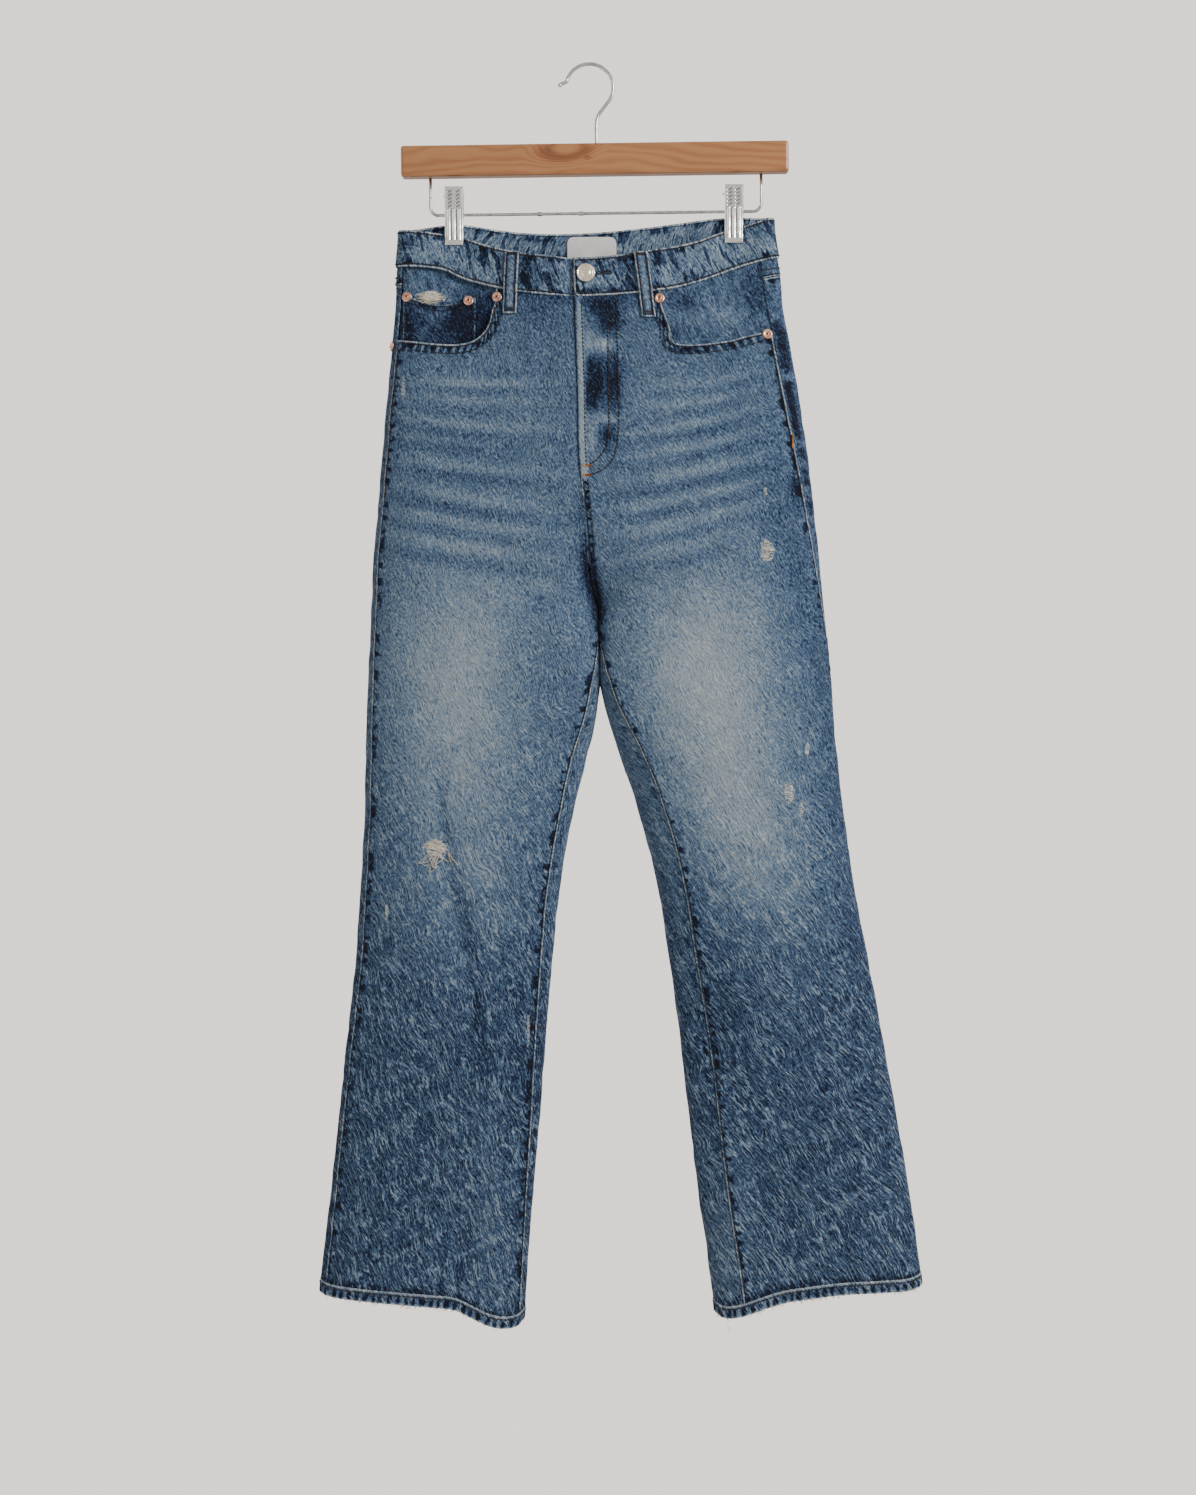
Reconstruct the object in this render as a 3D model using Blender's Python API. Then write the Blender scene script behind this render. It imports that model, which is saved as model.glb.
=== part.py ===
# Straight-leg jeans that hang by two clips from a wooden hanger with a metal hook.
# Metres, +Z up, the front faces -Y. The origin is the top of the inside of the hook.
# "Right" and "left" are the wearer's, so the right leg is on the -X side.
import bpy
import bmesh
import numpy as np
from math import cos, pi, radians, sin
from mathutils import Matrix, Vector

MM = 0.001

# Cloth walls and the distance kept between pieces
PANEL_WALL = 1.2 * MM
BAND_WALL = 3.0 * MM
POCKET_WALL = 1.1 * MM
LOOP_WALL = 2.0 * MM
HEM_WALLS_OUT = (1.2 * MM, 1.6 * MM, 1.4 * MM)
HEM_WALL_IN = 1.3 * MM
HEM_HEIGHT = 12.0 * MM
LOOP_WIDTH = 13.0 * MM
SEAM_GAP = 0.3 * MM

# How the flattened tubes round off at their side folds
FOLD_SHARPNESS = 4.2
PROFILE_SAMPLES = 60
CROTCH_HEIGHT = -501 * MM

# Cross sections from the waist down, in mm.
# outer and inner are the outline's edges in X for each leg, and the inner ones are the
# front's centre line above the crotch. back_shift moves the back's centre line from it.
# centre_open is 1 where front and back stand apart at the centre and 0 where a leg closes.
SECTION_NAMES = (
    "height", "right_outer", "right_inner", "left_inner", "left_outer",
    "front_depth", "back_depth", "back_shift", "centre_open")
SECTIONS = (
    (-130, -174.0, -15.5, -15.5, 170.5, 12, 8, 14.5, 1.0),
    (-160, -176.0, -14.8, -14.8, 173.0, 13, 9, 14.0, 1.0),
    (-190, -178.2, -14.0, -14.0, 177.8, 15, 11, 13.5, 1.0),
    (-218, -179.2, -13.0, -13.0, 180.2, 18, 14, 13.0, 1.0),
    (-260, -182.2, -11.4, -11.4, 187.4, 21, 18, 12.5, 1.0),
    (-311, -187.3, -9.8, -9.8, 195.8, 25, 21, 11.8, 1.0),
    (-366, -192.0, -8.6, -8.6, 204.2, 28, 24, 11.4, 1.0),
    (-405, -195.2, -5.2, -5.2, 208.8, 30, 25, 9.0, 0.98),
    (-432, -197.6, -2.6, -2.6, 211.8, 31, 26, 7.5, 0.92),
    (-460, -200.2, -0.4, -0.4, 214.6, 32, 26, 6.0, 0.72),
    (-482, -200.9, 3.0, 3.0, 216.6, 33, 26, 4.0, 0.38),
    (-501, -201.4, 7.9, 8.3, 218.4, 33, 26, 0.0, 0.0),
    (-534, -203.1, 9.7, 10.1, 221.9, 34, 26, 0.0, 0.0),
    (-579, -205.3, 10.6, 11.4, 226.2, 34, 26, 0.0, 0.0),
    (-627, -206.9, 2.6, 24.6, 229.6, 33, 25, 0.0, 0.0),
    (-683, -207.8, -11.6, 43.3, 235.8, 31, 24, 0.0, 0.0),
    (-757, -211.5, -25.5, 62.8, 246.3, 28, 23, 0.0, 0.0),
    (-831, -216.4, -33.2, 74.9, 260.0, 26, 22, 0.0, 0.0),
    (-906, -224.5, -39.5, 85.2, 273.9, 24, 21, 0.0, 0.0),
    (-980, -232.5, -45.2, 93.6, 287.2, 23, 21, 0.0, 0.0),
    (-1055, -240.5, -51.6, 103.0, 299.8, 23, 21, 0.0, 0.0),
    (-1129, -249.4, -57.1, 113.8, 309.6, 23, 21, 0.0, 0.0),
    (-1180, -254.5, -60.0, 118.8, 315.6, 23, 21, 0.0, 0.0))

# Where the leg seams lie, in mm along the cloth from the side folds, + on the front and
# - behind
SEAM_NAMES = ("height", "right_outseam", "right_inseam", "left_inseam", "left_outseam")
SEAMS = (
    (-130, 6.0, 0.0, 0.0, 16.0),
    (-190, 7.0, 0.0, 0.0, 17.5),
    (-260, 8.0, 0.0, 0.0, 19.0),
    (-366, 10.0, 0.0, 0.0, 17.0),
    (-460, 11.0, 0.0, 0.0, 10.5),
    (-501, 11.0, 0.0, 0.0, 6.5),
    (-534, 11.0, 9.5, 8.5, 3.0),
    (-579, 12.0, 20.5, 21.5, -5.0),
    (-627, 12.0, 22.0, 30.0, -11.5),
    (-683, 11.5, 19.0, 32.0, -16.5),
    (-831, 10.5, 15.5, 30.5, -21.5),
    (-980, 8.5, 11.5, 32.0, -23.0),
    (-1180, 10.0, 7.5, 33.0, -23.0))

# The waistband's edges, in mm, from the right side fold to the left one
BAND_ROWS = (0, 0.32, 0.5, 0.68, 1)
BAND_NAMES = ("x", "front_top", "front_bottom", "back_top", "back_bottom")
BAND = (
    (-178, -153.5, -188.0, -153.5, -188.0),
    (-150, -155.5, -189.0, -149.8, -187.5),
    (-133, -157.4, -191.5, -148.4, -186.8),
    (-115, -160.6, -200.0, -148.2, -186.6),
    (-95, -167.5, -206.0, -150.5, -189.0),
    (-72, -173.6, -211.2, -152.8, -191.4),
    (-40, -178.4, -215.4, -154.7, -193.4),
    (-14, -181.0, -217.3, -154.4, -193.4),
    (20, -179.4, -216.4, -152.4, -191.6),
    (55, -173.8, -212.8, -148.8, -188.0),
    (85, -168.6, -207.1, -145.4, -184.6),
    (103, -163.6, -201.6, -143.2, -182.2),
    (124, -155.6, -194.0, -141.8, -180.4),
    (143, -150.8, -187.4, -141.4, -179.6),
    (178, -140.6, -178.6, -140.6, -178.6))

# The front pockets' mouths, in mm, from the waistband to the outseam
POCKET_NAMES = ("x", "height")
RIGHT_POCKET = (
    (-85.2, -209.4), (-86.6, -222.6), (-89.6, -231.0), (-91.4, -240.0), (-96.6, -250.0),
    (-106.9, -258.2), (-120.0, -261.4), (-136.0, -261.2), (-152.0, -259.5), (-177.4, -256.4))
LEFT_POCKET = (
    (66.2, -211.2), (67.6, -224.4), (71.6, -236.0), (75.0, -246.0), (75.8, -256.0),
    (82.0, -261.0), (103.0, -261.4), (130.7, -257.7), (149.2, -252.6), (172.6, -247.8))
COLUMNS = 14
POCKET_START_COLUMN = 4

# Hem edges, in mm, at shares of each leg's width from the inner fold to the outer one
HEM_NAMES = ("share", "right_front", "right_back", "left_front", "left_back")
HEMS = (
    (0.00, -1163.5, -1163.5, -1156.0, -1156.0),
    (0.06, -1170.0, -1164.0, -1162.0, -1156.5),
    (0.12, -1171.0, -1162.0, -1161.0, -1155.5),
    (0.18, -1168.4, -1159.0, -1157.4, -1154.0),
    (0.26, -1161.0, -1155.0, -1151.6, -1151.0),
    (0.33, -1154.2, -1152.0, -1147.2, -1149.0),
    (0.47, -1149.8, -1150.0, -1142.0, -1146.0),
    (0.62, -1147.2, -1149.5, -1138.4, -1144.0),
    (0.78, -1144.8, -1147.0, -1137.2, -1141.0),
    (0.93, -1141.6, -1142.0, -1136.0, -1136.0),
    (1.00, -1138.0, -1138.0, -1132.4, -1132.4))

# Folds, in mm: the two ends of a soft ridge (+) or trough (-), its half width and height
FOLD_NAMES = ("x_from", "height_from", "x_to", "height_to", "half_width", "rise")
FRONT_FOLDS = (
    (-138, -665, -124, -757, 15, -2.4),
    (-124, -757, -108, -880, 15, -2.0),
    (160, -400, 200, -520, 17, -3.0),
    (-30, -455, -110, -395, 15, 2.0),
    (-35, -490, -130, -455, 16, -1.8),
    (40, -455, 120, -410, 15, 2.0),
    (45, -490, 150, -470, 16, -1.8),
    (-40, -230, -52, -330, 15, -1.8),
    (-112, -275, -96, -345, 18, 1.8),
    (105, -275, 88, -350, 18, 1.8),
    (30, -230, 44, -320, 15, -1.6),
    (-150, -700, -168, -860, 20, 1.8),
    (205, -640, 190, -800, 20, -2.0),
    (110, -820, 128, -960, 18, -1.8),
    (-72, -1172, -80, -985, 17, 4.5),
    (-122, -1165, -118, -1010, 17, -3.5),
    (-205, -1150, -196, -1000, 20, 2.0),
    (132, -1165, 128, -985, 17, 4.0),
    (178, -1155, 172, -1010, 18, -3.0),
    (262, -1145, 250, -985, 22, 2.4))
BACK_FOLDS = (
    (-20, -505, -120, -530, 18, -3.0),
    (40, -505, 140, -535, 18, -3.0),
    (-30, -455, -120, -470, 18, 2.0),
    (50, -455, 140, -470, 18, 2.0),
    (-175, -780, -60, -805, 15, -2.2),
    (75, -800, 225, -785, 15, -2.2),
    (-165, -860, -70, -850, 15, -1.8),
    (95, -850, 235, -870, 15, -1.8),
    (-110, -1165, -115, -960, 22, 3.0),
    (-190, -1155, -185, -980, 20, -2.5),
    (200, -1150, 190, -960, 22, 3.0),
    (270, -1145, 255, -980, 20, -2.5))

# The hanger
BAR_LENGTH = 360 * MM
BAR_HEIGHT = 29.0 * MM
BAR_DEPTH = 16.0 * MM
BAR_CENTRE = Vector((5.9 * MM, 0, -87.6 * MM))
BAR_TILT = radians(0.8)
BAR_BEVEL = 2.5 * MM
HOOK_RADIUS = 22.0 * MM
HOOK_WIRE = 1.7 * MM
HOOK_CENTRE_X = 0.8 * MM
HOOK_NECK_X = 7.3
# The hook's wire before and after its arc, as X and height in mm
HOOK_TIP = ((-27.2, -19.6), (-26.4, -17.9), (-24.0, -16.4))
HOOK_NECK = ((16.2, -36.4), (11.6, -42.4), (9.0, -46.4), (7.7, -50.4), (HOOK_NECK_X, -55.0), (HOOK_NECK_X, -63.0))
ROD_WIRE = 1.45 * MM
ROD_CORNER = 7.5 * MM
ROD_RIGHT_X = -146.9 * MM
ROD_LEFT_X = 160.5 * MM
ROD_RIGHT_HEIGHT = -139.2 * MM
ROD_LEFT_HEIGHT = -135.3 * MM
ROD_STOPS_X = (-45.0 * MM, -6.9 * MM)
ROD_STOP_WIRE = 2.3 * MM
CLIPS = {
    "right": {"x": -124.7 * MM, "bottom": -167.4 * MM},
    "left": {"x": 135.0 * MM, "bottom": -165.3 * MM}}
CLIP_HALF_WIDTH = 8.75 * MM
CLIP_BITE = 0.2 * MM
CLIP_MARGIN = 2.5 * MM
CLIP_SPREAD = 0.22
CLIP_PLATE = 1.0 * MM
CLIP_PIN_RISE = 46.0 * MM
CLIP_PIN_WIRE = 1.2 * MM
CLIP_SPRING_RADIUS = 2.8 * MM

# A clip's front plate, in mm: the rise from its bottom edge, and how far out of the
# middle its inner face and the end of its side flanges lie
CLIP_BACK_FLANGE = -1.6 * MM
CLIP_PLATE_ROWS = (
    (0.0, 3.9, 3.55), (2.0, 4.4, 3.6), (4.0, 3.95, 3.55), (16.0, 4.4, 3.8), (24.2, 5.3, 4.6),
    (26.0, 5.6, -2.4), (36.0, 7.4, -2.4), (48.6, 9.4, -2.4), (50.0, 9.6, 8.9), (53.0, 10.0, 9.3))

# Trims, in mm
BUTTON_AT = (-2.2, -196.0)
BUTTON_RADIUS = 8.6 * MM
RIVET_RADIUS = 4.8 * MM
FLY_SHIELD = {"x_from": -34, "x_to": 20, "bottom": -372}
UNDERLAP_END = 22 * MM
LABEL = {"x_from": -20, "x_to": 26, "top": -157.6, "bottom": -186, "corner": 6}
FACING_BOTTOM = -277 * MM
FACING_OVERLAP = 14 * MM
COIN_DEPTH = 1.1 * MM
COIN_POCKET = {"x_from": -172.5, "width": 68, "top": -211.5, "fall": 3, "dip": 10, "bottom": -264}
BACK_POCKET = {
    "from_centre": 92, "top": -268, "half_width": 66, "taper": 9, "side_depth": 118, "point": 24, "tilt": 4}
BAND_LAP_RUN = 16 * MM
BAND_LAP_EVEN = 0.35
YOKE_SIDE_DROP = 17 * MM
YOKE_CENTRE_DROP = 60 * MM

MATERIALS = {
    "denim": ((0.115, 0.165, 0.235, 1), 0.9, 0.0),
    "denim_dark": ((0.045, 0.070, 0.115, 1), 0.9, 0.0),
    "band_denim": ((0.070, 0.105, 0.160, 1), 0.9, 0.0),
    "label": ((0.68, 0.69, 0.68, 1), 0.8, 0.0),
    "button_metal": ((0.62, 0.52, 0.42, 1), 0.32, 1.0),
    "rivet_metal": ((0.52, 0.24, 0.13, 1), 0.38, 1.0),
    "hanger_wood": ((0.43, 0.20, 0.08, 1), 0.38, 0.0),
    "hanger_steel": ((0.62, 0.61, 0.58, 1), 0.25, 1.0),
}


def read(rows, names, name):
    return np.array([row[names.index(name)] for row in rows], dtype=float) * MM


# A smooth curve through the rows of a table, held level past its ends
def smooth(at, xs, ys):
    if xs[0] > xs[-1]:
        xs, ys = xs[::-1], ys[::-1]
    at = np.clip(at, xs[0], xs[-1])
    slope = np.gradient(ys, xs)
    i = np.clip(np.searchsorted(xs, at) - 1, 0, len(xs) - 2)
    step = xs[i + 1] - xs[i]
    t = (at - xs[i]) / step
    rise = t * t * (3 - 2 * t)
    ends = (t ** 3 - 2 * t * t + t) * step * slope[i] + (t ** 3 - t * t) * step * slope[i + 1]
    return ys[i] * (1 - rise) + ys[i + 1] * rise + ends


def eased(share):
    share = np.clip(share, 0, 1)
    return share * share * (3 - 2 * share)


def section(name, height):
    return smooth(height, read(SECTIONS, SECTION_NAMES, "height"), read(SECTIONS, SECTION_NAMES, name))


def plain_section(name, height):
    return section(name, height) / MM


def band_edge(name, x):
    return smooth(x, read(BAND, BAND_NAMES, "x"), read(BAND, BAND_NAMES, name))


# Distance of points to the bite of the nearer clip, straight down and across
def clip_distance(x, height):
    nearest = np.full(np.shape(x), 1.0)
    for place in CLIPS.values():
        across = np.maximum(np.abs(x - place["x"]) - CLIP_HALF_WIDTH - CLIP_MARGIN, 0)
        down = np.maximum(place["bottom"] - CLIP_MARGIN - height, 0)
        nearest = np.minimum(nearest, np.hypot(across, 0.8 * down))
    return nearest


def fold_rise(rows, x, height):
    total = np.zeros(np.shape(x))
    for row in rows:
        fold = dict(zip(FOLD_NAMES, np.array(row) * MM))
        x0, z0, x1, z1 = fold["x_from"], fold["height_from"], fold["x_to"], fold["height_to"]
        length = (x1 - x0) ** 2 + (z1 - z0) ** 2
        along = np.clip(((x - x0) * (x1 - x0) + (height - z0) * (z1 - z0)) / length, 0, 1)
        away = np.hypot(x - x0 - along * (x1 - x0), height - z0 - along * (z1 - z0))
        total += fold["rise"] * np.exp(-(away / fold["half_width"]) ** 2) * (0.35 + 0.65 * np.sin(pi * along))
    return total


# The inside of the cloth at each height, from the inner edge (0) to the outer fold (1):
# X, Y and the length along the curve. side is -1 for the right half and 1 for the left.
def profile(side, back, height):
    half = "right" if side < 0 else "left"
    height = np.asarray(height, dtype=float).reshape(-1, 1)
    share = ((1 - np.cos(pi * np.linspace(0, 1, PROFILE_SAMPLES))) / 2)[None, :]
    centre_open = np.clip(plain_section("centre_open", height), 0, 1)
    inset = (SEAM_GAP / 2 + PANEL_WALL) * (1 - centre_open)
    inner = section(half + "_inner", height) + side * inset
    if back:
        inner = inner + section("back_shift", height)
    outer = section(half + "_outer", height) - side * PANEL_WALL
    x = inner + (outer - inner) * share
    depth = section("back_depth" if back else "front_depth", height)
    # a soft crease above the crotch, legs pressed flat below it, then a free round fold
    pressed = eased((CROTCH_HEIGHT + 30 * MM - height) / (60 * MM))
    parted = eased((CROTCH_HEIGHT - 85 * MM - height) / (70 * MM))
    inner_power = 1 - 0.75 * pressed + 0.25 * parted
    round_out = np.sqrt(np.clip(1 - share ** FOLD_SHARPNESS, 0, 1))
    round_in = np.clip(1 - (1 - share) ** FOLD_SHARPNESS, 0, 1) ** inner_power
    body = round_out * (centre_open + (1 - centre_open) * round_in)
    free = depth * body + fold_rise(BACK_FOLDS if back else FRONT_FOLDS, x, height) * body
    pinched = CLIP_BITE + CLIP_SPREAD * clip_distance(x, height + 0 * x)
    y = free * pinched / np.cbrt(free ** 3 + pinched ** 3 + 1e-15)
    y = y if back else -y
    steps = np.hypot(np.diff(x, axis=1), np.diff(y, axis=1))
    along = np.concatenate([np.zeros((len(x), 1)), np.cumsum(steps, axis=1)], axis=1)
    return x, y, along / along[:, -1:]


def pick(keys, values, at):
    index = np.clip((keys < at[:, None]).sum(axis=1), 1, keys.shape[1] - 1)
    rows = np.arange(len(at))
    low, high = keys[rows, index - 1], keys[rows, index]
    t = np.clip((at - low) / np.maximum(high - low, 1e-12), 0, 1)
    return values[rows, index - 1] * (1 - t) + values[rows, index] * t


# A point of the inside of one half. turn runs 0 to 1 over the front, from the inner edge
# to the outer fold, and on to 2 over the back.
def inside(side, turn, height):
    shape = np.broadcast(turn, height).shape
    turn = np.broadcast_to(turn, shape).ravel() % 2.000001
    height = np.broadcast_to(height, shape).ravel().astype(float)
    points = np.zeros((len(turn), 3))
    for back in (False, True):
        chosen = (turn > 1) == back
        if chosen.any():
            share = 2 - turn[chosen] if back else turn[chosen]
            x, y, along = profile(side, back, height[chosen])
            points[chosen, 0] = pick(along, x, share)
            points[chosen, 1] = pick(along, y, share)
    points[:, 2] = height
    return points.reshape(shape + (3,))


def turn_at(side, x, height, back=False):
    shape = np.broadcast(x, height).shape
    x = np.broadcast_to(x, shape).ravel().astype(float)
    height = np.broadcast_to(height, shape).ravel().astype(float)
    xs, ys, along = profile(side, back, height)
    share = pick(xs * side, along, x * side)
    return (2 - share if back else share).reshape(shape)


# The cloth at turn and height, moved out of the inside by offset
def cloth(side, turn, height, offset):
    turn, height, offset = np.broadcast_arrays(turn, height, offset)
    step = 0.004
    open_above = height > CROTCH_HEIGHT
    before = np.where(open_above, np.maximum(turn - step, 0), turn - step)
    after = np.where(open_above, np.minimum(turn + step, 2), turn + step)
    across = inside(side, after, height) - inside(side, before, height)
    rise = 2 * MM
    upward = inside(side, turn, height + rise) - inside(side, turn, height - rise)
    normal = side * np.cross(across, upward)
    normal /= np.linalg.norm(normal, axis=-1, keepdims=True)
    return inside(side, turn, height) + normal * offset[..., None]


# The same for points of the front or back given by X, either side of the centre line
def face(back, x, height, offset):
    x, height, offset = np.broadcast_arrays(np.asarray(x, float), height, offset)
    centre = section("right_inner", height) + (section("back_shift", height) if back else 0)
    points = np.zeros(x.shape + (3,))
    for side in (-1, 1):
        chosen = (x >= centre) == (side > 0)
        if chosen.any():
            turn = turn_at(side, x[chosen], height[chosen], back)
            points[chosen] = cloth(side, turn, height[chosen], offset[chosen])
    return points


# Length of the front's or back's curve of a half
def face_length(side, back, height):
    x, y, along = profile(side, back, height)
    return np.hypot(np.diff(x, axis=1), np.diff(y, axis=1)).sum(axis=1)


def seam_turn(side, name, height):
    half = "right" if side < 0 else "left"
    height = np.asarray(height, float)
    away = smooth(height, read(SEAMS, SEAM_NAMES, "height"), read(SEAMS, SEAM_NAMES, half + "_" + name))
    length = np.where(away > 0, face_length(side, False, height), face_length(side, True, height))
    return 1 - away / length if name == "outseam" else away / length


# A gap in metres as a share of a half's width
def gap_turn(side, height, gap=SEAM_GAP / 2):
    half = "right" if side < 0 else "left"
    return gap / np.abs(section(half + "_outer", height) - section(half + "_inner", height))


def hem_edge(side, turn):
    half = "right" if side < 0 else "left"
    turn = turn % 2
    share = np.where(turn > 1, 2 - turn, turn)
    shares = read(HEMS, HEM_NAMES, "share") / MM
    front = smooth(share, shares, read(HEMS, HEM_NAMES, half + "_front"))
    back = smooth(share, shares, read(HEMS, HEM_NAMES, half + "_back"))
    return np.where(turn > 1, back, front)


def material(name):
    colour, roughness, metallic = MATERIALS[name]
    made = bpy.data.materials.get(name) or bpy.data.materials.new(name)
    made.use_nodes = True
    shader = made.node_tree.nodes["Principled BSDF"]
    shader.inputs["Base Color"].default_value = colour
    shader.inputs["Roughness"].default_value = roughness
    shader.inputs["Metallic"].default_value = metallic
    made.diffuse_color = colour
    return made


def add_object(name, points, faces, finish):
    mesh = bpy.data.meshes.new(name)
    mesh.from_pydata([tuple(point) for point in points], [], faces)
    shape = bmesh.new()
    shape.from_mesh(mesh)
    bmesh.ops.triangulate(shape, faces=shape.faces[:])
    if shape.calc_volume(signed=True) < 0:
        bmesh.ops.reverse_faces(shape, faces=shape.faces[:])
    shape.to_mesh(mesh)
    shape.free()
    mesh.materials.append(material(finish))
    mesh.shade_smooth()
    mesh.set_sharp_from_angle(angle=radians(45))
    made = bpy.data.objects.new(name, mesh)
    bpy.context.collection.objects.link(made)
    return made


# A closed wall between an inner and an outer grid of points of the same size
def wall(name, inner, outer, finish, ring=False):
    rows, columns = inner.shape[:2]
    points = np.concatenate([inner.reshape(-1, 3), outer.reshape(-1, 3)])
    outside = rows * columns
    faces = []
    last = columns if ring else columns - 1
    for i in range(rows - 1):
        for j in range(last):
            a, b = i * columns + j, i * columns + (j + 1) % columns
            c, d = b + columns, a + columns
            faces.append((a, b, c, d))
            faces.append((outside + d, outside + c, outside + b, outside + a))
    for j in range(last):
        a, b = j, (j + 1) % columns
        faces.append((b, a, outside + a, outside + b))
        c, d = (rows - 1) * columns + a, (rows - 1) * columns + b
        faces.append((c, d, outside + d, outside + c))
    if not ring:
        for i in range(rows - 1):
            a, b = i * columns, (i + 1) * columns
            faces.append((a, b, outside + b, outside + a))
            c, d = a + columns - 1, b + columns - 1
            faces.append((d, c, outside + c, outside + d))
    return add_object(name, points, faces, finish)


# A solid through closed sections with the same number of points, its ends filled
def loft(name, sections, finish):
    count = len(sections[0])
    points = [point for ring in sections for point in ring]
    faces = []
    for i in range(len(sections) - 1):
        for j in range(count):
            a, b = i * count + j, i * count + (j + 1) % count
            faces.append((a, b, b + count, a + count))
    faces.append(tuple(reversed(range(count))))
    faces.append(tuple(range(len(points) - count, len(points))))
    return add_object(name, points, faces, finish)


# A round wire along a path in the XZ plane
def wire(name, path, radii, finish, sides=10):
    path = np.array(path)
    along = np.gradient(path, axis=0)
    along /= np.linalg.norm(along, axis=1, keepdims=True)
    sections = []
    for (x, z), (dx, dz), radius in zip(path, along, radii):
        ring = []
        for k in range(sides):
            angle = 2 * pi * k / sides
            out, aside = radius * cos(angle), radius * sin(angle)
            ring.append((x - dz * out, aside, z + dx * out))
        sections.append(ring)
    return loft(name, sections, finish)


# A turned piece on the cloth: radii and rises of its rings, along a direction
def turned(name, centre, direction, rings, finish, sides=12):
    turn = Vector(direction).to_track_quat("Z", "Y").to_matrix()
    sections = []
    for radius, rise in rings:
        ring = []
        for k in range(sides):
            angle = 2 * pi * k / sides
            ring.append(Vector(centre) + turn @ Vector((radius * cos(angle), radius * sin(angle), rise)))
        sections.append(ring)
    return loft(name, sections, finish)


# Heights of the rows of the leg panels below the pockets, denser at the crotch
def panel_rows():
    upper = np.linspace(-300, -440, 5)
    crotch = np.array([-465, -485, -501, -516, -540, -575])
    lower = np.linspace(-610, -1120, 14)
    return np.concatenate([upper, crotch, lower]) * MM


# Shares of a panel's width for its columns, closer together at its side folds
def spread(count):
    even = np.linspace(0, 1, count)
    return 0.62 * (1 - np.cos(pi * even)) / 2 + 0.38 * even


def panel_grid(side, start, end, top_turn, top_height, top_rows):
    shares = spread(len(top_turn))
    levels = panel_rows()
    turns, heights = [], []
    for level in levels:
        low, high = start(level), end(level)
        turns.append(low + (high - low) * shares)
        heights.append(np.full(len(shares), level))
    bottom = levels[-1]
    low, high = start(bottom), end(bottom)
    hem_turn = low + (high - low) * shares
    hem = hem_edge(side, hem_turn) + HEM_HEIGHT + 3 * SEAM_GAP
    fall = hem - (levels[-1] - 25 * MM)
    for i, level in enumerate(levels):
        pull = np.clip((-1000 * MM - level) / (150 * MM), 0, 1)
        heights[i] = heights[i] + fall * pull
    turns.append(hem_turn)
    heights.append(hem)
    blend = np.linspace(0, 1, top_rows + 1)[:-1]
    tops_turn = [top_turn * (1 - t) + turns[0] * t for t in blend]
    tops_height = [top_height * (1 - t) + heights[0] * t for t in blend]
    return np.array(tops_turn + turns), np.array(tops_height + heights)


def resample(xs, ys, count):
    steps = np.hypot(np.diff(xs), np.diff(ys))
    along = np.concatenate([[0], np.cumsum(steps)])
    at = np.linspace(0, along[-1], count)
    return np.interp(at, along, xs), np.interp(at, along, ys)


def pocket_mouth(side):
    rows = RIGHT_POCKET if side < 0 else LEFT_POCKET
    return read(rows, POCKET_NAMES, "x"), read(rows, POCKET_NAMES, "height")


# X of the front columns from the centre line to the pocket's mouth
def band_run(side):
    start_x = section("right_inner", -215 * MM)
    return np.linspace(start_x, pocket_mouth(side)[0][0], POCKET_START_COLUMN + 1)


# Turns of the back's columns, from the outseam at a height to the centre back
def back_run(side, height):
    edge = gap_turn(side, height)
    start = seam_turn(side, "outseam", np.array([height]))[0] + edge
    return np.concatenate([[start], np.linspace(1, 2 - edge, COLUMNS - 1)])


def front_panel(side, name):
    pocket_x, pocket_height = pocket_mouth(side)
    band_x = band_run(side)
    band_height = band_edge("front_bottom", band_x) - SEAM_GAP
    mouth_x, mouth_height = resample(pocket_x, pocket_height, COLUMNS - POCKET_START_COLUMN)
    mouth_height[0] = band_edge("front_bottom", mouth_x[0]) - SEAM_GAP
    x = np.concatenate([band_x[:-1], mouth_x])
    top_height = np.concatenate([band_height[:-1], mouth_height])
    top_turn = turn_at(side, x, top_height)
    top_turn[0] = gap_turn(side, top_height[0])
    top_turn[-1] = seam_turn(side, "outseam", top_height[-1:])[0] - gap_turn(side, top_height[-1])

    def start(level):
        return float(seam_turn(side, "inseam", np.array([level]))[0] + gap_turn(side, level))

    def end(level):
        return float(seam_turn(side, "outseam", np.array([level]))[0] - gap_turn(side, level))

    turns, heights = panel_grid(side, start, end, top_turn, top_height, 3)
    inner = cloth(side, turns, heights, 0)
    outer = cloth(side, turns, heights, PANEL_WALL)
    return wall(name, inner, outer, "denim")


# The yoke's lower edge drops from the outseam to the centre back
def yoke_edge(side, turn):
    x = inside(side, turn, np.full(np.shape(turn), -200 * MM))[..., 0]
    band = band_edge("back_bottom", x)
    front = band_edge("front_bottom", x)
    band = np.where(np.asarray(turn) < 1, front, band)
    rise = np.clip((np.asarray(turn) - 1), 0, 1)
    return band - YOKE_SIDE_DROP - (YOKE_CENTRE_DROP - YOKE_SIDE_DROP) * rise


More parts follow.
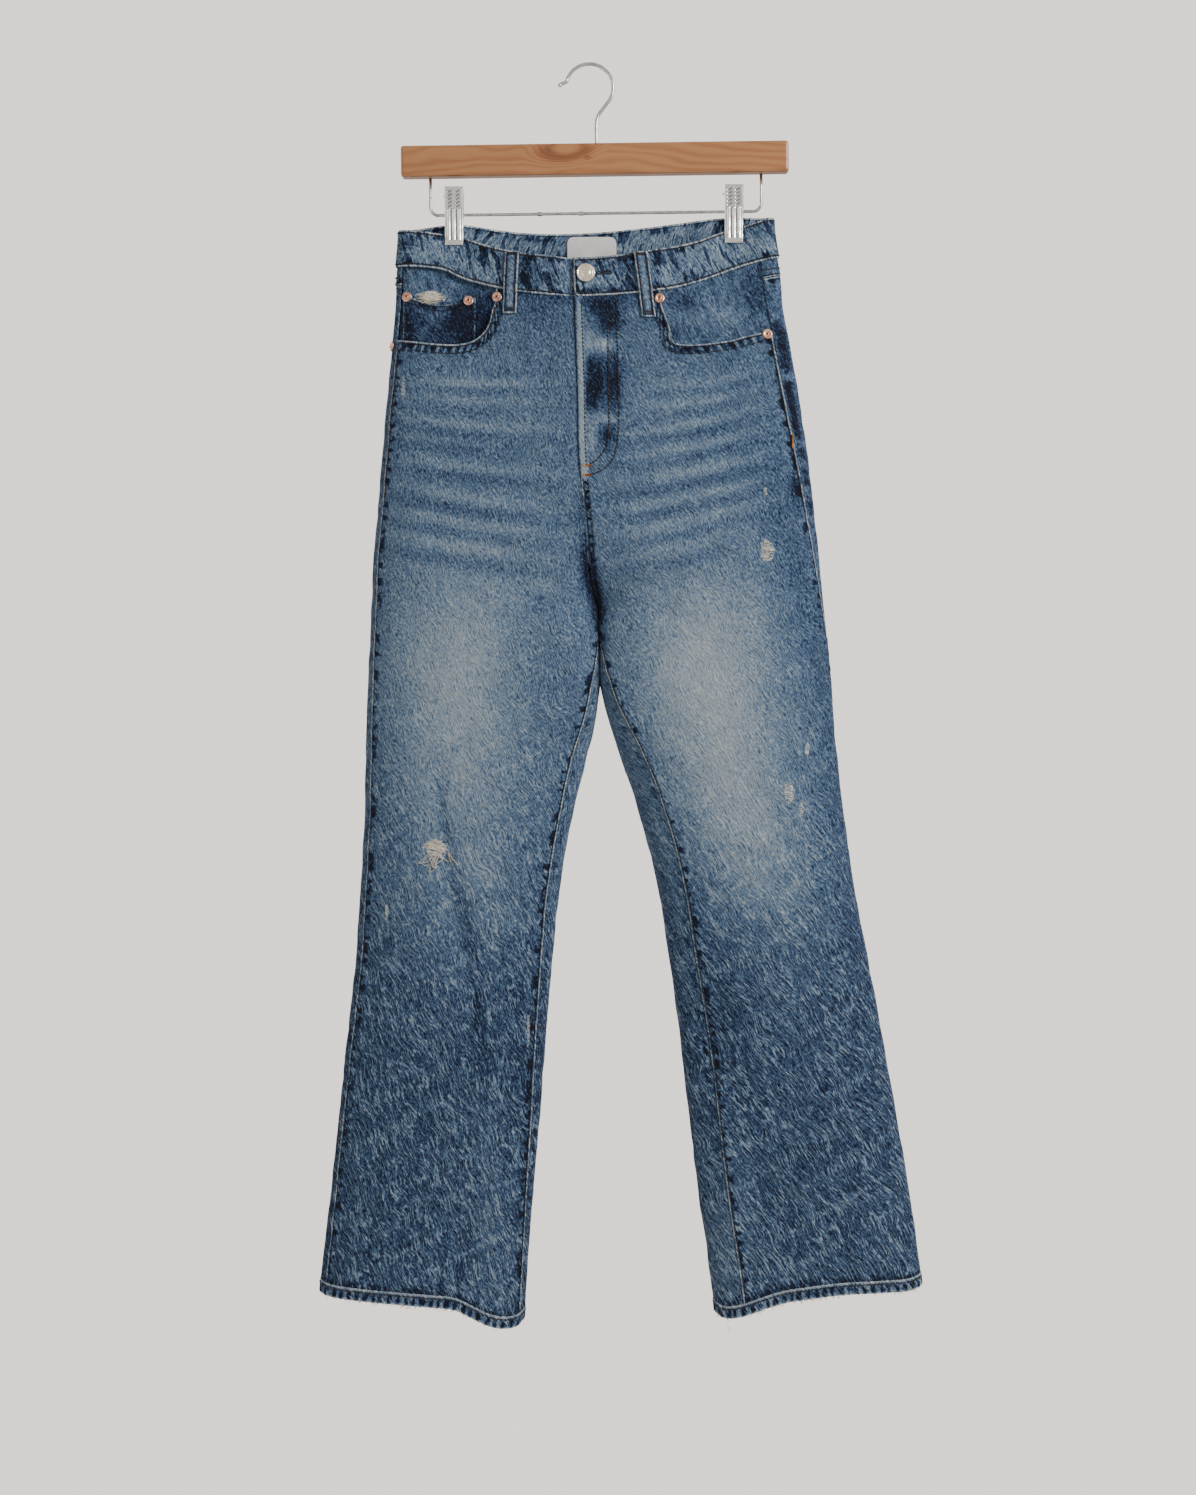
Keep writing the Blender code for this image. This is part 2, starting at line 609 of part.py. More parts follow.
def back_panel(side, name):
    top_turn = back_run(side, -205 * MM)
    top_height = yoke_edge(side, top_turn) - SEAM_GAP / 2

    def start(level):
        return float(seam_turn(side, "outseam", np.array([level]))[0] + gap_turn(side, level))

    def end(level):
        return float(2 + seam_turn(side, "inseam", np.array([level]))[0] - gap_turn(side, level))

    turns, heights = panel_grid(side, start, end, top_turn, top_height, 2)
    inner = cloth(side, turns, heights, 0)
    outer = cloth(side, turns, heights, PANEL_WALL)
    return wall(name, inner, outer, "denim")


def yoke(side, name, rows=3):
    turn = back_run(side, -205 * MM)
    top = band_columns(side, turn)[1] - SEAM_GAP
    bottom = yoke_edge(side, turn) + SEAM_GAP / 2
    blend = np.linspace(0, 1, rows)[:, None]
    heights = top * (1 - blend) + bottom * blend
    turns = np.broadcast_to(turn, heights.shape)
    inner = cloth(side, turns, heights, 0)
    outer = cloth(side, turns, heights, PANEL_WALL)
    return wall(name, inner, outer, "denim")


def band_columns(side, turn):
    x = inside(side, turn, np.full(len(turn), -175 * MM))[:, 0]
    behind = turn > 1
    top = np.where(behind, band_edge("back_top", x), band_edge("front_top", x))
    bottom = np.where(behind, band_edge("back_bottom", x), band_edge("front_bottom", x))
    return top, bottom


# The same run with a point added in the middle of each step
def halved(values):
    doubled = np.zeros(2 * len(values) - 1)
    doubled[::2] = values
    doubled[1::2] = 0.5 * (values[1:] + values[:-1])
    return doubled


def waistband(side, name):
    run = band_run(side)
    run_turn = turn_at(side, run, band_edge("front_bottom", run) - SEAM_GAP)
    run_turn[0] = gap_turn(side, -215 * MM)
    turn = halved(np.concatenate([
        run_turn, np.linspace(run_turn[-1], 1, 10)[1:], back_run(side, -205 * MM)[2:]]))
    top, bottom = band_columns(side, turn)
    bottom[:2 * len(run) - 1] = halved(band_edge("front_bottom", run))
    back = slice(2 * (len(run) + 8), None)
    bottom[back] = halved(bottom[back][::2])
    blend = np.array(BAND_ROWS)[:, None]
    heights = top * (1 - blend) + bottom * blend
    turns = np.broadcast_to(turn, heights.shape)
    if side > 0:
        inner = cloth(side, turns, heights, 0)
        outer = cloth(side, turns, heights, BAND_WALL)
        return wall(name, inner, outer, "band_denim")
    # the right end steps in and runs behind the left one, where the button is sewn
    step = BAND_WALL + SEAM_GAP
    x = inside(side, turns, heights)[..., 0]
    centre = section("right_inner", heights)
    away = np.clip((centre - x) / BAND_LAP_RUN, 0, 1)
    sink = np.where(turns < 1, step * (1 - away), 0)
    sink = np.where((turns < 1) & (away < BAND_LAP_EVEN), step, sink)
    inner = cloth(side, turns, heights, -sink)
    outer = cloth(side, turns, heights, BAND_WALL - sink)
    lap_x = np.linspace(UNDERLAP_END, section("left_inner", -195 * MM) + 6 * MM, 4)
    lap_top, lap_bottom = band_edge("front_top", lap_x), band_edge("front_bottom", lap_x)
    lap_heights = lap_top * (1 - blend) + lap_bottom * blend
    lap_x = np.broadcast_to(lap_x, lap_heights.shape)
    lap_inner = face(False, lap_x, lap_heights, np.full(lap_x.shape, -step))
    lap_outer = face(False, lap_x, lap_heights, np.full(lap_x.shape, BAND_WALL - step))
    inner = np.concatenate([lap_inner, inner], axis=1)
    outer = np.concatenate([lap_outer, outer], axis=1)
    return wall(name, inner, outer, "band_denim")


# The hem's columns are those of the two panels that end on it
def hem(side, name):
    level = panel_rows()[-1]
    edge = gap_turn(side, level)
    inseam = seam_turn(side, "inseam", np.array([level]))[0]
    outseam = seam_turn(side, "outseam", np.array([level]))[0]
    front = inseam + edge + (outseam - inseam - 2 * edge) * spread(COLUMNS)
    back = outseam + edge + (2 + inseam - outseam - 2 * edge) * spread(COLUMNS)
    turn = np.concatenate([front, back[1:-1]])
    bottom = hem_edge(side, turn)
    heights = np.array([bottom + HEM_HEIGHT, bottom + HEM_HEIGHT / 2, bottom])
    turns = np.broadcast_to(turn, heights.shape)
    inner = cloth(side, turns, heights, -HEM_WALL_IN)
    outer = cloth(side, turns, heights, np.array(HEM_WALLS_OUT)[:, None])
    return wall(name, inner, outer, "denim", ring=True)


# A patch on the front or back between two edges given as heights over a run of X
def patch(name, back, x, top, bottom, offset, thickness, finish, rows=3):
    blend = np.linspace(0, 1, rows)[:, None]
    heights = top * (1 - blend) + bottom * blend
    xs = np.broadcast_to(x, heights.shape)
    inner = face(back, xs, heights, np.full(xs.shape, offset))
    outer = face(back, xs, heights, np.full(xs.shape, offset + thickness))
    return wall(name, inner, outer, finish)


def pocket_facing(side, name, depth):
    inner_edge = pocket_mouth(side)[0][0] - side * FACING_OVERLAP
    height = -215 * MM
    first = turn_at(side, np.array([inner_edge]), np.array([height]))[0]
    last = seam_turn(side, "outseam", np.array([height]))[0] - gap_turn(side, height, MM)
    turn = np.linspace(first, last, 9)
    x = inside(side, turn, np.full(9, -200 * MM))[:, 0]
    top = band_edge("front_bottom", x) - SEAM_GAP
    blend = np.linspace(0, 1, 5)[:, None]
    heights = top * (1 - blend) + FACING_BOTTOM * blend
    turns = np.broadcast_to(turn, heights.shape)
    inner = cloth(side, turns, heights, -depth - POCKET_WALL)
    outer = cloth(side, turns, heights, -depth)
    return wall(name, inner, outer, "band_denim")


def coin_pocket(name):
    share = np.linspace(0, 1, 9)
    x = (COIN_POCKET["x_from"] + COIN_POCKET["width"] * share) * MM
    dip = COIN_POCKET["fall"] * share + COIN_POCKET["dip"] * np.sin(pi * share) ** 0.8
    top = (COIN_POCKET["top"] - dip) * MM
    bottom = np.full(9, COIN_POCKET["bottom"] * MM)
    patch(name, False, x, top, bottom, -COIN_DEPTH - POCKET_WALL, POCKET_WALL, "band_denim", 4)


def back_pocket(side, name):
    centre = section("back_shift", -330 * MM) + section("right_inner", -330 * MM)
    middle = centre + side * BACK_POCKET["from_centre"] * MM
    across = np.linspace(-1, 1, 7)
    blend = np.linspace(0, 1, 6)[:, None]
    half_width = (BACK_POCKET["half_width"] - BACK_POCKET["taper"] * blend) * MM
    xs = middle + across * half_width
    top = (BACK_POCKET["top"] - BACK_POCKET["tilt"] * across * side) * MM
    bottom = top - (BACK_POCKET["side_depth"] + BACK_POCKET["point"] * (1 - np.abs(across))) * MM
    heights = top * (1 - blend) + bottom * blend
    base = PANEL_WALL + SEAM_GAP
    inner = face(True, xs, heights, np.full(xs.shape, base))
    outer = face(True, xs, heights, np.full(xs.shape, base + POCKET_WALL))
    return wall(name, inner, outer, "denim")


# Belt loops, in mm. They start just under the band's top edge, and tail is how far they
# run on down the panel below it.
LOOP_NAMES = ("name", "back", "x_top", "x_bottom", "tail")
LOOPS = (
    ("belt_loop_front_right", False, -69.8, -72.8, 22.0),
    ("belt_loop_front_left", False, 47.8, 55.8, 24.0),
    ("belt_loop_back_right", True, -100.0, -101.5, 18.0),
    ("belt_loop_back_centre", True, -0.5, 0.0, 18.0),
    ("belt_loop_back_left", True, 108.0, 109.5, 18.0))


def belt_loop(name, back, x_top, x_bottom, tail):
    face_name = "back" if back else "front"
    top = band_edge(face_name + "_top", np.array([x_top * MM]))[0] - 0.5 * MM
    bottom = band_edge(face_name + "_bottom", np.array([x_bottom * MM]))[0]
    rows = np.array([top, top - 5 * MM, 0.5 * (top + bottom), bottom + 5 * MM, bottom - 1.0 * MM,
                     bottom - 5 * MM, bottom - 11 * MM, bottom - tail * MM])
    high, low = BAND_WALL + 1.5 * SEAM_GAP, PANEL_WALL + 2 * SEAM_GAP
    offset = np.array([high, high, high, high, high, high - 1.0 * MM, low, low])
    share = (rows - rows[0]) / (rows[-1] - rows[0])
    middle = (x_top + (x_bottom - x_top) * share) * MM
    across = np.array([-0.5, 0, 0.5]) * LOOP_WIDTH
    xs = middle[:, None] + across
    heights = np.broadcast_to(rows[:, None], xs.shape)
    offset = np.broadcast_to(offset[:, None], xs.shape)
    inner = face(back, xs, heights, offset)
    outer = face(back, xs, heights, offset + LOOP_WALL)
    return wall(name, inner, outer, "denim_dark")


# Rivets: name, X and height in mm, and how far out of the inside of the cloth they sit
RIVETS = (
    ("rivet_coin_outer", -168.4, -216.0, -COIN_DEPTH),
    ("rivet_coin_inner", -111.2, -219.4, -COIN_DEPTH),
    ("rivet_pocket_right_top", -84.4, -217.0, PANEL_WALL),
    ("rivet_pocket_right_side", -180.6, -261.4, PANEL_WALL),
    ("rivet_pocket_left_top", 65.6, -218.6, PANEL_WALL),
    ("rivet_pocket_left_side", 165.2, -251.6, PANEL_WALL))


def cap(name, x, height, offset, rings, finish, sides):
    side = -1 if x < -14 else 1
    turn = turn_at(side, np.array([x * MM]), np.array([height * MM]))
    low = cloth(side, turn, np.array([height * MM]), offset)[0]
    high = cloth(side, turn, np.array([height * MM]), offset + MM)[0]
    return turned(name, low, high - low, rings, finish, sides)


def label():
    x = np.linspace(LABEL["x_from"], LABEL["x_to"], 9) * MM
    edge = np.minimum(x - x[0], x[-1] - x) / (LABEL["corner"] * MM)
    drop = LABEL["corner"] * MM * (1 - np.sqrt(np.clip(1 - (1 - np.clip(edge, 0, 1)) ** 2, 0, 1)))
    top = LABEL["top"] * MM - drop
    bottom = np.full(9, LABEL["bottom"] * MM)
    patch("neck_label", True, x, top, bottom, -SEAM_GAP - 1.0 * MM, 1.0 * MM, "label", 4)


def fly_shield():
    x = np.linspace(FLY_SHIELD["x_from"], FLY_SHIELD["x_to"], 5) * MM
    top = band_edge("front_bottom", x) - 2 * SEAM_GAP
    bottom = np.full(5, FLY_SHIELD["bottom"] * MM)
    patch("fly_shield", False, x, top, bottom, -SEAM_GAP - POCKET_WALL, POCKET_WALL, "denim_dark", 7)


def bar_underside(x):
    return BAR_CENTRE.z + (x - BAR_CENTRE.x) * np.tan(BAR_TILT) - BAR_HEIGHT / 2 / cos(BAR_TILT)


def hanger_bar():
    mesh = bpy.data.meshes.new("hanger_bar")
    shape = bmesh.new()
    bmesh.ops.create_cube(shape, size=1)
    bmesh.ops.scale(shape, vec=(BAR_LENGTH, BAR_DEPTH, BAR_HEIGHT), verts=shape.verts[:])
    bmesh.ops.bevel(shape, geom=shape.edges[:], offset=BAR_BEVEL, segments=2, affect="EDGES", profile=0.5)
    bmesh.ops.rotate(shape, cent=(0, 0, 0), matrix=Matrix.Rotation(-BAR_TILT, 3, "Y"), verts=shape.verts[:])
    shape.to_mesh(mesh)
    shape.free()
    mesh.materials.append(material("hanger_wood"))
    mesh.shade_smooth()
    mesh.set_sharp_from_angle(angle=radians(45))
    made = bpy.data.objects.new("hanger_bar", mesh)
    made.location = BAR_CENTRE
    bpy.context.collection.objects.link(made)
    return made


def hanger_hook():
    centre_z = HOOK_WIRE - HOOK_RADIUS
    angles = np.radians(np.linspace(166, -24, 22))
    arc = [(HOOK_CENTRE_X + HOOK_RADIUS * cos(a), centre_z + HOOK_RADIUS * sin(a)) for a in angles]
    top = float(bar_underside(HOOK_NECK_X * MM)) + BAR_HEIGHT + 2 * SEAM_GAP
    tip = [(x * MM, z * MM) for x, z in HOOK_TIP]
    neck = [(x * MM, z * MM) for x, z in HOOK_NECK]
    path = tip + arc + neck + [(HOOK_NECK_X * MM, top)]
    radii = [HOOK_WIRE * 0.8] + [HOOK_WIRE * 1.1] + [HOOK_WIRE] * (len(path) - 2)
    return wire("hanger_hook", path, radii, "hanger_steel")


def rod_height(x):
    share = (x - ROD_RIGHT_X) / (ROD_LEFT_X - ROD_RIGHT_X)
    return ROD_RIGHT_HEIGHT + (ROD_LEFT_HEIGHT - ROD_RIGHT_HEIGHT) * share


def hanger_rod():
    path, radii = [], []

    def add(x, z, radius=ROD_WIRE):
        path.append((x, z))
        radii.append(radius)

    add(ROD_RIGHT_X, float(bar_underside(ROD_RIGHT_X)) - 2 * SEAM_GAP)
    add(ROD_RIGHT_X, -118 * MM)
    for angle in np.radians(np.linspace(180, 270, 6)):
        add(ROD_RIGHT_X + ROD_CORNER * (1 + cos(angle)), ROD_RIGHT_HEIGHT + ROD_CORNER * (1 + sin(angle)))
    for stop_x in ROD_STOPS_X:
        for shift, radius in ((-3, ROD_WIRE), (-2.6, ROD_STOP_WIRE), (2.6, ROD_STOP_WIRE), (3, ROD_WIRE)):
            x = stop_x + shift * MM
            add(x, rod_height(x), radius)
    for angle in np.radians(np.linspace(270, 360, 6)):
        add(ROD_LEFT_X - ROD_CORNER * (1 - cos(angle)), ROD_LEFT_HEIGHT + ROD_CORNER * (1 + sin(angle)))
    add(ROD_LEFT_X, -114 * MM)
    add(ROD_LEFT_X, float(bar_underside(ROD_LEFT_X)) - 2 * SEAM_GAP)
    return wire("hanger_rod", path, radii, "hanger_steel")


def clip_plate(name, x, bottom, half_width, facing, rod_z):
    sections = []
    for rise, inner, flange in CLIP_PLATE_ROWS:
        near, far = inner * MM, inner * MM + CLIP_PLATE
        end = CLIP_BACK_FLANGE if facing > 0 and flange < 0 else flange * MM
        wide, narrow = half_width, half_width - CLIP_PLATE
        outline = ((-wide, end), (-wide, far), (wide, far), (wide, end),
                   (narrow, end), (narrow, near), (-narrow, near), (-narrow, end))
        height = bottom + rise * MM
        sections.append([(x + across, facing * away, height) for across, away in outline])
    plate = loft(name, sections, "hanger_steel")
    for label_name, height, radius in (
            ("rod", rod_z, ROD_WIRE + 0.4 * MM),
            ("pin", bottom + CLIP_PIN_RISE, CLIP_PIN_WIRE + SEAM_GAP)):
        cutter = turned(name + "_cut_" + label_name, (x - 0.012, 0, height), (1, 0, 0),
                        ((radius, 0), (radius, 0.024)), "hanger_steel", 12)
        cutter.hide_render = True
        cutter.display_type = "WIRE"
        cut = plate.modifiers.new(label_name, "BOOLEAN")
        cut.operation = "DIFFERENCE"
        cut.solver = "EXACT"
        cut.object = cutter
    return plate


def clip(half):
    x, bottom = CLIPS[half]["x"], CLIPS[half]["bottom"]
    rod_z = rod_height(x)
    clip_plate("clip_" + half + "_front", x, bottom, CLIP_HALF_WIDTH, -1, rod_z)
    inner_width = CLIP_HALF_WIDTH - CLIP_PLATE - SEAM_GAP
    clip_plate("clip_" + half + "_back", x, bottom, inner_width, 1, rod_z)
    pin_z = bottom + CLIP_PIN_RISE
    rings = ((CLIP_PIN_WIRE, -10.2 * MM), (CLIP_PIN_WIRE, -5 * MM), (CLIP_SPRING_RADIUS, -4.9 * MM),
             (CLIP_SPRING_RADIUS, 4.9 * MM), (CLIP_PIN_WIRE, 5 * MM), (CLIP_PIN_WIRE, 10.2 * MM))
    turned("clip_" + half + "_spring", (x, 0, pin_z), (1, 0, 0), rings, "hanger_steel", 12)


def build():
    for old in list(bpy.data.objects):
        bpy.data.objects.remove(old, do_unlink=True)
    for side, half in ((-1, "right"), (1, "left")):
        front_panel(side, "front_" + half)
        back_panel(side, "back_" + half)
        yoke(side, "yoke_" + half)
        waistband(side, "waistband_" + half)
        hem(side, "hem_" + half)
        back_pocket(side, "back_pocket_" + half)
    pocket_facing(-1, "pocket_facing_right", COIN_DEPTH + POCKET_WALL + 2 * SEAM_GAP)
    pocket_facing(1, "pocket_facing_left", SEAM_GAP)
    coin_pocket("coin_pocket")
    fly_shield()
    for row in LOOPS:
        belt_loop(**dict(zip(LOOP_NAMES, row)))
    seat = SEAM_GAP
    rivet = ((RIVET_RADIUS, seat), (RIVET_RADIUS, seat + 0.8 * MM), (RIVET_RADIUS * 0.8, seat + 1.4 * MM),
             (RIVET_RADIUS * 0.4, seat + 1.4 * MM), (RIVET_RADIUS * 0.3, seat + 1.9 * MM))
    for name, x, height, offset in RIVETS:
        cap(name, x, height, offset, rivet, "rivet_metal", 12)
    button = ((BUTTON_RADIUS * 0.8, seat), (BUTTON_RADIUS, seat + 1.0 * MM), (BUTTON_RADIUS, seat + 2.2 * MM),
              (BUTTON_RADIUS * 0.86, seat + 3.2 * MM), (BUTTON_RADIUS * 0.74, seat + 2.7 * MM))
    cap("waist_button", BUTTON_AT[0], BUTTON_AT[1], BAND_WALL, button, "button_metal", 20)
    label()
    hanger_bar()
    hanger_hook()
    hanger_rod()
    clip("right")
    clip("left")


build()
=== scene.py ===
# Worn straight-leg jeans hung by two clips from a wooden bar hanger.
# Metres, +Z up, the front towards -Y. Right and left are the wearer's, so right is at -X.
import bpy
import numpy as np
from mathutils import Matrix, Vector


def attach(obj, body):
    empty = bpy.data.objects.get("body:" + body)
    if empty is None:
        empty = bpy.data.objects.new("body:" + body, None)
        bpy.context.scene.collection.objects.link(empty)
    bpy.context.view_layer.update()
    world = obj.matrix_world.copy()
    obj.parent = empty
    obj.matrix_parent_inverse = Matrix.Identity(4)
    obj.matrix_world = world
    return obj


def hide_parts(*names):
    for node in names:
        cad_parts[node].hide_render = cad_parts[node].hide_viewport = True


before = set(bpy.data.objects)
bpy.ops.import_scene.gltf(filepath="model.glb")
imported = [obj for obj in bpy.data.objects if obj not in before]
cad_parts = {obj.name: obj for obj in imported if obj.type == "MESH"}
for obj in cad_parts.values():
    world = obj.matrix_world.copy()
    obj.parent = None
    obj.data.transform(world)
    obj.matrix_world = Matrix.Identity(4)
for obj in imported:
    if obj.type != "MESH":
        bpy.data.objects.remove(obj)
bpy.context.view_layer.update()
mm = 0.001
pi = np.pi
rng = np.random.default_rng(11)
halfNames = {-1: "right", 1: "left"}


# Camera straight on, floor below the hems, soft light from the upper right

stage = {
    "aim": (8.9 * mm, -633.8 * mm), "distance": 2.4, "frameHeight": 1.390, "sensor": 36.0,
    "floorHeight": -1.40, "floorColour": (0.86, 0.82, 0.77, 1), "backdropColour": (1.56, 1.45, 1.34, 1),
    "backdropLight": 0.31, "glossLight": 0.70, "keyPower": 62.0, "fillPower": 10.0, "backPower": 21.0}


def addLight(name, place, target, width, height, power, colour):
    lamp = bpy.data.lights.new(name, "AREA")
    lamp.shape, lamp.size, lamp.size_y = "RECTANGLE", width, height
    lamp.energy, lamp.color = power, colour
    made = bpy.data.objects.new(name, lamp)
    made.location = place
    aim = Vector(target) - Vector(place)
    made.rotation_euler = aim.to_track_quat("-Z", "Y").to_euler()
    bpy.context.scene.collection.objects.link(made)


camera = bpy.data.objects.new("camera", bpy.data.cameras.new("camera"))
camera.data.sensor_width = stage["sensor"]
camera.data.lens = stage["sensor"] * stage["distance"] / stage["frameHeight"]
camera.location = (stage["aim"][0], -stage["distance"], stage["aim"][1])
camera.rotation_euler = (pi / 2, 0, 0)
bpy.context.scene.collection.objects.link(camera)
bpy.context.scene.camera = camera

addLight("keyLight", (2.0, -1.6, 0.45), (0, 0, -0.6), 0.9, 1.1, stage["keyPower"], (1.0, 0.98, 0.95))
addLight("fillLight", (-1.8, -1.6, -0.7), (0, 0, -0.7), 1.6, 1.8, stage["fillPower"], (0.95, 0.97, 1.0))
addLight("backLight", (-0.9, 1.9, 0.3), (0, 0, -0.6), 1.4, 1.6, stage["backPower"], (1.0, 0.99, 0.97))


# Shader maths: one output socket, whose operators add Math nodes

class Shade:
    def __init__(self, tree, out):
        self.tree, self.out = tree, out

    # any node: its type, its settings, the values or links of its sockets, and which output
    def node(self, kind, settings, sockets, output=0):
        made = self.tree.nodes.new(kind)
        for key, value in settings.items():
            if key == "stops":
                ramp = made.color_ramp
                while len(ramp.elements) < len(value):
                    ramp.elements.new(0.5)
                for element, (place, colour) in zip(ramp.elements, value):
                    element.position, element.color = place, colour
            else:
                setattr(made, key, value)
        for key, value in sockets.items():
            if isinstance(value, Shade):
                self.tree.links.new(value.out, made.inputs[key])
            else:
                made.inputs[key].default_value = value
        return Shade(self.tree, made.outputs[output])

    def maths(self, operation, *values):
        return self.node("ShaderNodeMath", {"operation": operation}, dict(enumerate((self,) + values)))

    def backwards(self, operation, value):
        return self.node("ShaderNodeMath", {"operation": operation}, {0: value, 1: self})

    def __add__(self, other): return self.maths("ADD", other)
    def __sub__(self, other): return self.maths("SUBTRACT", other)
    def __rsub__(self, other): return self.backwards("SUBTRACT", other)
    def __mul__(self, other): return self.maths("MULTIPLY", other)
    def __truediv__(self, other): return self.maths("DIVIDE", other)
    __radd__, __rmul__ = __add__, __mul__

    def clamped(self, low=0.0, high=1.0):
        return self.maths("MAXIMUM", low).maths("MINIMUM", high)

    # smooth step from 0 at low to 1 at high
    def eased(self, low, high):
        sockets = {"Value": self, "From Min": low, "From Max": high, "To Min": 0.0, "To Max": 1.0}
        return self.node("ShaderNodeMapRange", {"interpolation_type": "SMOOTHSTEP"}, sockets)

    def ramp(self, stops):
        return self.node("ShaderNodeValToRGB", {"stops": stops}, {"Fac": self})

    # colours: this one where mask is 0, other where it is 1
    def mixed(self, other, mask):
        return self.node("ShaderNodeMix", {"data_type": "RGBA"}, {"Factor": mask, 6: self, 7: other}, 2)

    def part(self, index):
        return self.node("ShaderNodeSeparateXYZ", {}, {0: self}, index)

    def joined(self, y, z):
        return self.node("ShaderNodeCombineXYZ", {}, {0: self, 1: y, 2: z})

    def noise(self, scale, detail=2.0, roughness=0.5):
        sockets = {"Vector": self, "Scale": scale, "Detail": detail, "Roughness": roughness}
        return self.node("ShaderNodeTexNoise", {}, sockets)

    def attribute(self, name):
        return self.node("ShaderNodeAttribute", {"attribute_name": name}, {}, 2)

    # Object coordinates
    def place(self):
        return self.node("ShaderNodeTexCoord", {}, {}, 3)


def linear(red, green, blue):
    value = np.array([red, green, blue]) / 255
    return tuple(np.where(value <= 0.04045, value / 12.92, ((value + 0.055) / 1.055) ** 2.4)) + (1.0,)


# A new material: its Principled shader and a Shade to start from
def newMaterial(name, **plain):
    made = bpy.data.materials.new(name)
    made.use_nodes = True
    shader = made.node_tree.nodes["Principled BSDF"]
    for key, value in plain.items():
        shader.inputs[key.replace("_", " ")].default_value = value
    return made, shader, Shade(made.node_tree, None)


def connect(shade, shader, socket):
    shade.tree.links.new(shade.out, shader.inputs[socket])


def bumped(shader, height, distance):
    sockets = {"Height": height, "Distance": distance, "Strength": 1.0}
    connect(height.node("ShaderNodeBump", {}, sockets), shader, "Normal")


# Denim: slub streaks that lean down to the right on a faded blue ground

denim = {
    "lean": 0.49, "warp": 3.0 * mm, "bend": 15 * mm, "twill": (1.15 * mm, 3.0 * mm),
    "slub": (1.7 * mm, 13.0 * mm), "slubDepth": 0.27, "vein": (3.9 * mm, 28.0 * mm),
    "veinSharp": 19.0, "veinDepth": 0.36, "mark": (1.7 * mm, 8.0 * mm), "markDepth": 0.20,
    "blotch": 0.04, "drip": (6.0 * mm, 24.0 * mm), "dripLean": 0.30, "dripDepth": 0.24,
    "dripEdge": 0.16, "coarseFrom": 0.42, "coarseTo": 0.95, "ridge": 0.36, "stitchShade": 0.20,
    "tick": 0.42, "sheen": 0.07, "gloss": 0.2, "bump": 0.75 * mm}
denimStops = [
    (0.00, linear(8, 13, 32)), (0.16, linear(21, 36, 67)), (0.34, linear(56, 79, 110)),
    (0.52, linear(97, 121, 148)), (0.7, linear(147, 162, 175)), (0.86, linear(182, 191, 196)),
    (1.00, linear(226, 224, 214))]
# abraded places on the fronts: middle, half sizes (mm), and how bare the white yarn is
wornNames = ("x", "height", "halfWidth", "halfHeight", "bare")
wornPlaces = (
    (-141, -726, 11, 7.5, 0.6), (164.5, -453, 6.5, 10, 0.6), (-186, -785, 1.8, 6.5, 0.8),
    (-171, -302, 2.2, 11, 0.35), (163, -399, 2, 5, 0.5), (201.5, -636, 2.2, 7, 0.7),
    (184.5, -676, 4.5, 10, 0.5), (196, -690.5, 2.4, 7, 0.35), (-147, -216.5, 13, 6.5, 1),
    (-55.7, -894.5, 1.4, 14, 0.6))


# noise stretched along the lean, cells of the given width and length
def leaning(across, along, size, shift=0.0, detail=1.0, roughness=0.5):
    return (across / size[0]).joined(along / size[1], shift).noise(1.0, detail, roughness)


